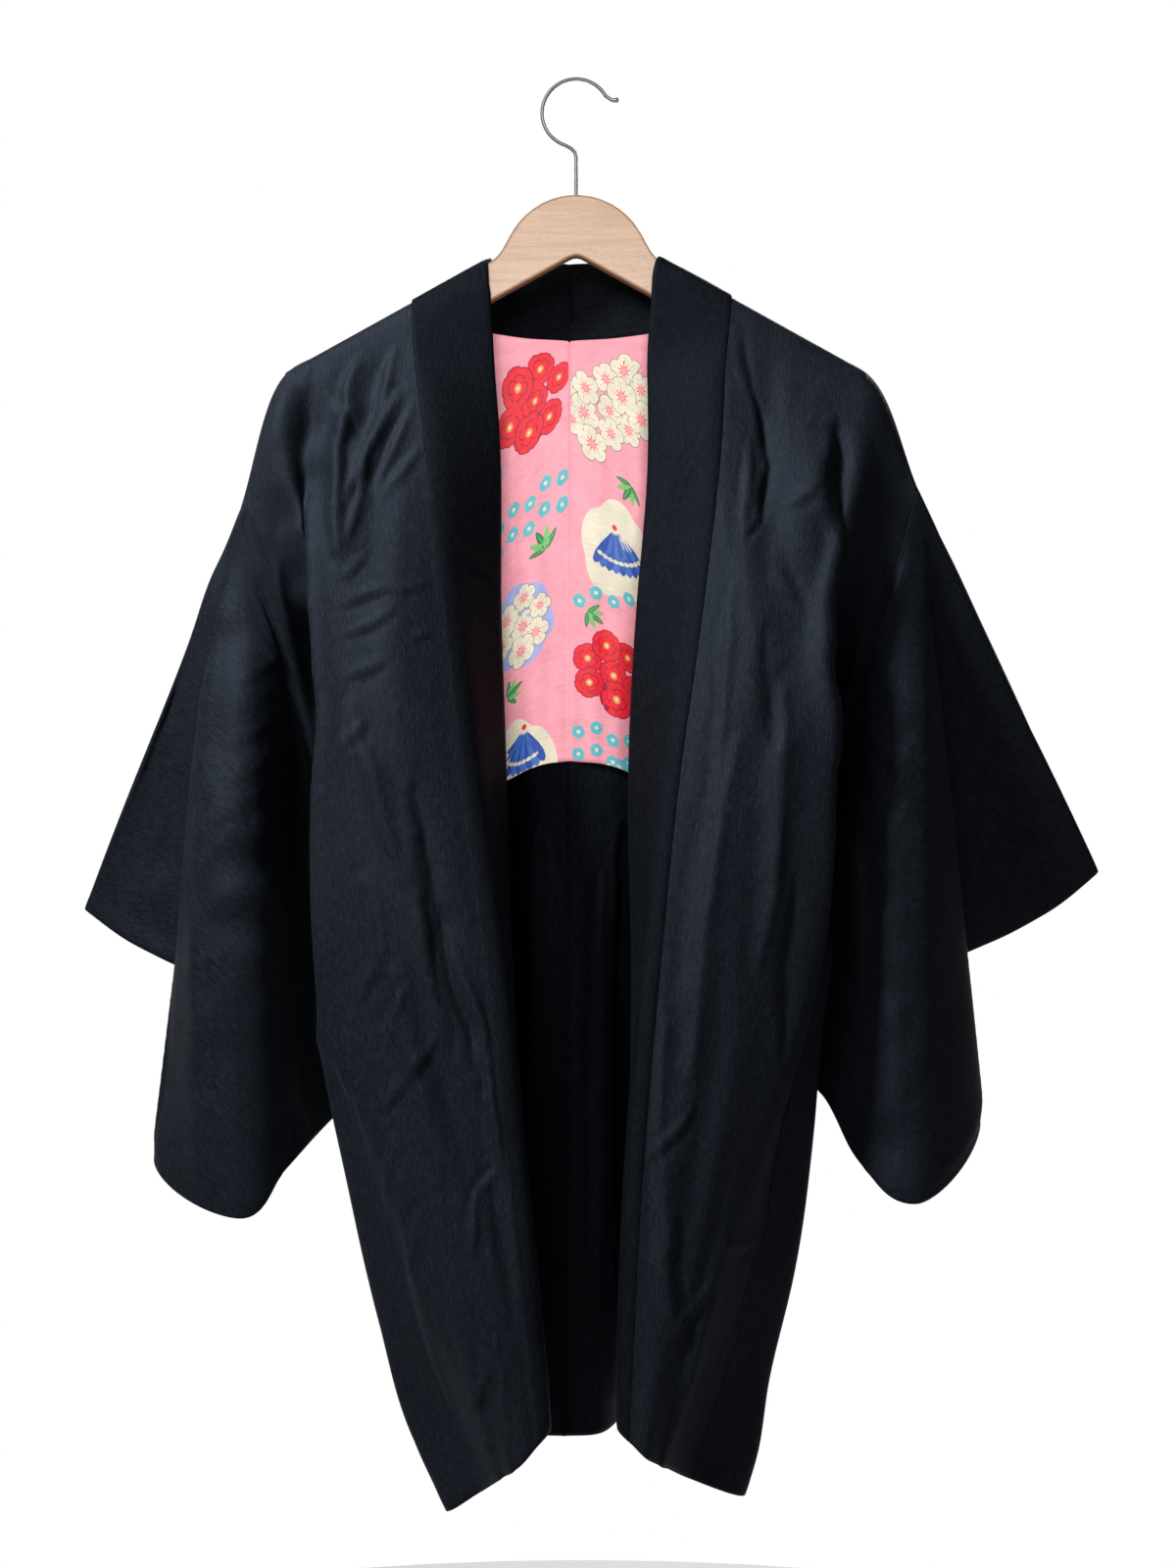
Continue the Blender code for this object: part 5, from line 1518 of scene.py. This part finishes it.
def print_on(half):
    """The printed inks of one lining, as one piece of thin shapes."""
    grid, normals = lining_grid(half)
    below = len(grid) - int((SHARES > NECK_SHARE).sum() - (SHARES > LINING_BOTTOM).sum()) - 1
    above, grid, normals = grid[below::-1], grid[below:], normals[below:]
    points, faces, slots, places, first = [], [], [], [], 0
    drawn = []
    for ink, side, out, down, length, width, turn, lobes in GROUNDS:
        if side == half:
            outline = lobed((out, down), length, width, radians(turn), lobes, LOBE_DEPTH, int(1e4 * out) + 3)
            drawn.append((ink, -1, outline))
    for kind, side, out, down, length, width, turn, size, left_out in CLUSTERS:
        if side == half:
            drawn += cluster(kind, (out, down), length, width, radians(turn), size, left_out, int(1e4 * down))
    for kind, side, out, down, size, turn in MOTIFS:
        if side == half:
            drawn += FLOWERS[kind](np.array([out, down]), size, radians(turn))
    names = list(INKS)
    for ink, level, outline in drawn:
        count = len(outline)
        rings = GROUND_RINGS if count == GROUND_POINTS else 1
        at, flat = laid(grid, normals, above, outline, level, rings)
        points.append(at)
        places.append(flat)
        faces += ring_faces(first, rings, count)
        low, last = first + (rings - 1) * count, first + rings * count
        faces += [(low + m, low + (m + 1) % count, last) for m in range(count)]
        slots += [names.index(ink)] * (len(faces) - len(slots))
        first += len(at)
    made = add_mesh(
        f"lining_print_{half}",
        np.concatenate(points).tolist(),
        faces,
        [silk[name] for name in names],
        np.concatenate(places),
        slots,
    )
    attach(made, "root")
    return made


# The hanger and its hook

NECK_IN, NECK_UP, NECK_OUT = 0.003, 0.005, 0.002  # the corner where the head runs into an arm
END_ROUND, END_LIFT = 0.82, 0.006  # an arm's end: its radius as a share of the wood there, and its lift
FOOT_GAP = 0.0003  # between the wood and the wire's foot
SHANK = ((0.0, -0.066), (0.0, -0.054), (-0.0008, -0.0505), (-0.0034, -0.0478))  # the wire's way up to its arc
TIP = ((0.0232, -0.0124), (0.0252, -0.0136), (0.0275, -0.0138), (0.0288, -0.0136), (0.0298, -0.0134))
TIP_SWELL = (1.1, 1.25, 1.42, 1.1)  # of the wire's last four points


def tidy_outline(points, count):
    """An outline's points spaced evenly, with its corners softened."""
    closed = np.array(points + points[:1])
    length = along_line(closed)
    at = np.linspace(0, length[-1], count, endpoint=False)
    even = np.stack([np.interp(at, length, closed[:, axis]) for axis in range(2)], axis=1)
    for _ in range(3):
        even = (np.roll(even, 1, axis=0) + 2 * even + np.roll(even, -1, axis=0)) / 4
    return even


def hanger():
    centre = HEAD_TOP + HEAD_RADIUS
    half = [(out, centre - sqrt(HEAD_RADIUS**2 - out**2)) for out in np.linspace(0, HEAD_ARC_OUT, 12)]
    half.append((HEAD_OUT - NECK_IN, ARM_TOP - NECK_UP))
    half.append((HEAD_OUT + NECK_OUT, ARM_TOP + ARM_SLOPE * NECK_OUT))
    top_end = ARM_TOP + ARM_SLOPE * (ARM_END - HEAD_OUT)
    under_end = ARM_UNDER + ARM_SLOPE * ARM_END
    middle, radius = (top_end + under_end) / 2, (under_end - top_end) / 2 * END_ROUND
    for angle in np.linspace(-60, 120, 19):
        turn = radians(angle)
        half.append((ARM_END - radius + radius * cos(turn), middle - END_LIFT + radius * sin(turn)))
    half.append((0.0, ARM_UNDER))
    outline = tidy_outline(half + [(-out, down) for out, down in half[-2:0:-1]], 360)
    ways = unit(np.roll(outline, -1, axis=0) - np.roll(outline, 1, axis=0))
    inward = np.stack([-ways[:, 1], ways[:, 0]], axis=1)
    rounds = np.radians(np.linspace(0, 90, 6))
    rings = []
    for face in (-1, 1):
        turned = rounds[::-1] if face < 0 else rounds
        for angle in turned:
            inset = WOOD_ROUND * (1 - cos(angle))
            y = face * (WOOD_THICK / 2 - WOOD_ROUND * (1 - sin(angle)))
            ring = outline + inward * inset
            rings.append(np.stack([ring[:, 0], np.full(len(ring), y), -ring[:, 1]], axis=1))
    count = len(outline)
    points = np.concatenate(rings)
    faces = ring_faces(0, len(rings), count)
    last = (len(rings) - 1) * count
    faces.append(tuple(range(count))[::-1])
    faces.append(tuple(range(last, last + count)))
    made = add_mesh("hanger_wood", points.tolist(), faces, [beech])
    for face in list(made.data.polygons)[-2:]:
        face.use_smooth = False
    piece(made, "hanger")


def hook():
    centre = -HOOK_RADIUS + WIRE / 2
    path = [(0.0, -HEAD_TOP + FOOT_GAP), *SHANK]
    for angle in range(252, 25, -6):
        turn = radians(angle)
        path.append((HOOK_RADIUS * cos(turn), centre + HOOK_RADIUS * sin(turn)))
    path += TIP
    curve = bpy.data.curves.new("hook_wire", "CURVE")
    curve.dimensions = "3D"
    curve.bevel_depth = WIRE / 2
    curve.bevel_resolution = 5
    curve.use_fill_caps = True
    spline = curve.splines.new("POLY")
    spline.points.add(len(path) - 1)
    for point, (out, up) in zip(spline.points, path):
        point.co = (out, 0.0, up, 1.0)
    for point, swell in zip(list(spline.points)[-len(TIP_SWELL) :], TIP_SWELL):
        point.radius = swell
    spline.use_smooth = True
    curve.materials.append(steel)
    made = bpy.data.objects.new("hook_wire", curve)
    bpy.context.scene.collection.objects.link(made)
    piece(made, "hook")


# Materials


def shader_of(name, **sockets):
    """A Principled material with its constants set on its own sockets."""
    made = bpy.data.materials.new(name)
    made.use_nodes = True
    shader = made.node_tree.nodes["Principled BSDF"]
    for socket, value in sockets.items():
        shader.inputs[socket.replace("_", " ")].default_value = value
    return made, made.node_tree, shader


def node(tree, kind, **values):
    made = tree.nodes.new(kind)
    for name, value in values.items():
        if name in made.inputs:
            made.inputs[name].default_value = value
        else:
            setattr(made, name, value)
    return made


def placed(tree, scale, uv=True, turn=0.0):
    """Coordinates on the flat cloth, or in the piece's own space, stretched by scale."""
    source = node(tree, "ShaderNodeTexCoord")
    mapped = node(tree, "ShaderNodeMapping")
    mapped.inputs["Scale"].default_value = scale
    mapped.inputs["Rotation"].default_value = (0, 0, turn)
    tree.links.new(source.outputs["UV" if uv else "Object"], mapped.inputs["Vector"])
    return mapped.outputs["Vector"]


def noise_of(tree, vector, detail=2.0, rough=0.5, distortion=0.0):
    made = node(tree, "ShaderNodeTexNoise", Scale=1.0, Detail=detail, Roughness=rough, Distortion=distortion)
    tree.links.new(vector, made.inputs["Vector"])
    return made.outputs["Fac"]


def ramp(tree, source, *stops):
    made = node(tree, "ShaderNodeValToRGB")
    made.color_ramp.elements[0].position, made.color_ramp.elements[1].position = stops[0][0], stops[-1][0]
    made.color_ramp.elements[0].color = (*stops[0][1], 1)
    made.color_ramp.elements[1].color = (*stops[-1][1], 1)
    for place_at, colour in stops[1:-1]:
        made.color_ramp.elements.new(place_at).color = (*colour, 1)
    tree.links.new(source, made.inputs["Fac"])
    return made.outputs["Color"]


def blend(tree, fac, first, second, mode="MIX"):
    made = node(tree, "ShaderNodeMix", data_type="RGBA", blend_type=mode)
    for socket, value in ((made.inputs["Factor"], fac), (made.inputs[6], first), (made.inputs[7], second)):
        if isinstance(value, (int, float)):
            socket.default_value = value
        elif isinstance(value, tuple):
            socket.default_value = (*value, 1)
        else:
            tree.links.new(value, socket)
    return made.outputs[2]


def total(tree, first, second, share=0.5):
    """share of the first added to the rest of the second."""
    parts = []
    for source, factor in ((first, share), (second, 1 - share)):
        made = node(tree, "ShaderNodeMath", operation="MULTIPLY")
        made.inputs[1].default_value = factor
        tree.links.new(source, made.inputs[0])
        parts.append(made.outputs[0])
    made = node(tree, "ShaderNodeMath", operation="ADD")
    tree.links.new(parts[0], made.inputs[0])
    tree.links.new(parts[1], made.inputs[1])
    return made.outputs[0]


def bump(tree, shader, height, distance, strength):
    made = node(tree, "ShaderNodeBump", Strength=strength, Distance=distance)
    tree.links.new(height, made.inputs["Height"])
    tree.links.new(made.outputs["Normal"], shader.inputs["Normal"])


def make_crepe():
    """Near-black silk crepe: a fine upright wavering grain, dull, with a slight blue-grey bloom."""
    made, tree, shader = shader_of(
        "crepe_cloth",
        Roughness=0.66,
        Specular_IOR_Level=0.14,
        Specular_Tint=(0.66, 0.78, 1.0, 1),
        Sheen_Weight=0.02,
        Sheen_Roughness=0.40,
        Sheen_Tint=(0.55, 0.68, 0.95, 1),
    )
    grain = noise_of(tree, placed(tree, (640, 150, 1)), 2.0, 0.55, 0.9)
    slant = noise_of(tree, placed(tree, (520, 240, 1), turn=0.35), 1.5, 0.5, 0.6)
    thread = noise_of(tree, placed(tree, (2600, 2600, 1)), 1.0, 0.5)
    patch = noise_of(tree, placed(tree, (14, 9, 14), uv=False), 3.0, 0.55)
    weave = total(tree, grain, slant, 0.62)
    low, middle, high = (0.0026, 0.0030, 0.0043), (0.0047, 0.0056, 0.0079), (0.0088, 0.0104, 0.0140)
    dark = ramp(tree, weave, (0.36, low), (0.50, middle), (0.64, high))
    shaded = ramp(tree, patch, (0.30, (0.86, 0.87, 0.90)), (0.70, (1.12, 1.10, 1.08)))
    tree.links.new(blend(tree, 1.0, dark, shaded, "MULTIPLY"), shader.inputs["Base Color"])
    bump(tree, shader, total(tree, weave, thread, 0.8), 0.0008, 0.70)
    return made


def make_silk(name, colour):
    """Printed silk satin in one ink: fine floats across it, and a soft gloss."""
    made, tree, shader = shader_of(
        f"silk_{name}",
        Roughness=0.50,
        Specular_IOR_Level=0.22,
        Sheen_Weight=0.03,
        Sheen_Roughness=0.35,
        Anisotropic=0.3,
    )
    floats = noise_of(tree, placed(tree, (2600, 900, 1)), 1.0, 0.5)
    slub = noise_of(tree, placed(tree, (90, 700, 1)), 2.0, 0.5)
    patch = noise_of(tree, placed(tree, (45, 45, 1)), 3.0, 0.6)
    low, high = (tuple(c * f for c in colour) for f in (0.86, 1.10))
    spread = ramp(tree, total(tree, slub, patch, 0.45), (0.35, low), (0.65, high))
    tree.links.new(spread, shader.inputs["Base Color"])
    bump(tree, shader, total(tree, floats, slub, 0.6), 0.0003, 0.5)
    return made


def make_beech():
    """Pale beech under a thin clear coat: long grain, and short darker flecks along it."""
    made, tree, shader = shader_of("beech_wood", Roughness=0.42, Coat_Weight=0.25, Coat_Roughness=0.28)
    grain = noise_of(tree, placed(tree, (16, 90, 260), uv=False), 3.0, 0.6, 0.4)
    fleck = noise_of(tree, placed(tree, (230, 900, 1700), uv=False), 1.0, 0.4)
    broad = noise_of(tree, placed(tree, (9, 30, 40), uv=False), 2.0, 0.5)
    low, middle, high = (0.345, 0.190, 0.106), (0.415, 0.242, 0.142), (0.470, 0.290, 0.178)
    wood = ramp(tree, total(tree, grain, broad, 0.6), (0.34, low), (0.5, middle), (0.66, high))
    spots = ramp(tree, fleck, (0.60, (0.0, 0.0, 0.0)), (0.70, (1.0, 1.0, 1.0)))
    flecked = blend(tree, spots, wood, blend(tree, 0.55, wood, (0.23, 0.14, 0.08)))
    tree.links.new(flecked, shader.inputs["Base Color"])
    bump(tree, shader, total(tree, grain, fleck, 0.5), 0.0003, 0.35)
    return made


def make_steel():
    """Bright nickel-plated wire with faint drawing lines and wear."""
    made, tree, shader = shader_of("nickel_wire", Metallic=1.0, Roughness=0.2)
    lines = noise_of(tree, placed(tree, (900, 900, 900), uv=False), 2.0, 0.6)
    worn = noise_of(tree, placed(tree, (120, 120, 120), uv=False), 3.0, 0.6)
    metal = ramp(tree, worn, (0.35, (0.50, 0.495, 0.485)), (0.65, (0.57, 0.565, 0.55)))
    tree.links.new(metal, shader.inputs["Base Color"])
    tree.links.new(ramp(tree, worn, (0.3, (0.34,) * 3), (0.7, (0.42,) * 3)), shader.inputs["Roughness"])
    bump(tree, shader, lines, 0.00002, 0.15)
    return made


def make_floor():
    made, tree, shader = shader_of("floor_paint", Roughness=0.8, Specular_IOR_Level=0.2)
    mottle = noise_of(tree, placed(tree, (3, 3, 3), uv=False), 3.0, 0.5)
    tree.links.new(ramp(tree, mottle, (0.3, (0.86,) * 3), (0.7, (0.90,) * 3)), shader.inputs["Base Color"])
    return made


# The studio


def area_light(name, at, target, size, power, colour, spread, lit):
    lamp = bpy.data.lights.new(name, "AREA")
    lamp.shape, lamp.size, lamp.size_y = "RECTANGLE", size[0], size[1]
    lamp.energy, lamp.color, lamp.spread = power, colour, radians(spread)
    made = bpy.data.objects.new(name, lamp)
    made.location = at
    made.rotation_euler = (Vector(target) - Vector(at)).to_track_quat("-Z", "Y").to_euler()
    if lit:
        made.light_linking.receiver_collection = bpy.data.collections[lit]
    bpy.context.scene.collection.objects.link(made)


def studio():
    """White all round the back of the object and greyer in front of it, so that the cloth keeps its folds."""
    scene = bpy.context.scene
    world = bpy.data.worlds.new("studio")
    scene.world = world
    world.use_nodes = True
    tree = world.node_tree
    source = node(tree, "ShaderNodeTexCoord")
    split = node(tree, "ShaderNodeSeparateXYZ")
    tree.links.new(source.outputs["Generated"], split.inputs[0])
    graded = node(tree, "ShaderNodeMapRange")
    for socket, value in zip(list(graded.inputs)[1:5], WORLD_RANGE):
        socket.default_value = value
    tree.links.new(split.outputs["Y"], graded.inputs[0])
    tree.links.new(graded.outputs[0], tree.nodes["Background"].inputs["Strength"])
    tree.nodes["Background"].inputs["Color"].default_value = (1.0, 1.0, 1.0, 1)
    mesh = bpy.data.meshes.new("floor")
    turns = [2 * pi * i / FLOOR_SIDES for i in range(FLOOR_SIDES)]
    around = [(FLOOR_RADIUS * cos(turn), FLOOR_RADIUS * sin(turn), FLOOR_HEIGHT) for turn in turns]
    mesh.from_pydata(around, [], [tuple(range(FLOOR_SIDES))])
    mesh.materials.append(make_floor())
    floor = bpy.data.objects.new("floor", mesh)
    scene.collection.objects.link(floor)
    for made in [o for o in bpy.data.objects if o.type == "MESH"]:
        inside = made.name.startswith(("jacket_lining", "lining_print", "hanger_wood"))
        name = "lit_inside" if inside else "lit_collar" if made.name == "jacket_collar" else "lit_by_key"
        receivers = bpy.data.collections.get(name) or bpy.data.collections.new(name)
        receivers.objects.link(made)
    for light in LIGHTS:
        area_light(*light)
    lens = bpy.data.cameras.new("camera")
    lens.sensor_fit, lens.sensor_width = "AUTO", 36.0
    lens.lens = lens.sensor_width * FOCAL_PIXELS / PHOTO_HEIGHT
    lens.clip_start, lens.clip_end = 0.05, 50
    camera = bpy.data.objects.new("camera", lens)
    camera.location = CAMERA_AT
    camera.rotation_euler = (pi / 2, 0, 0)
    scene.collection.objects.link(camera)
    scene.camera = camera
    scene.view_settings.view_transform = "Standard"
    scene.view_settings.look = "None"


crepe, beech, steel = make_crepe(), make_beech(), make_steel()
silk = {name: make_silk(name, colour) for name, colour in INKS.items()}
hanger()
hook()
for half in SIDES:
    body(half)
    gusset(half)
    sleeve(half)
    lining(half)
collar()
studio()
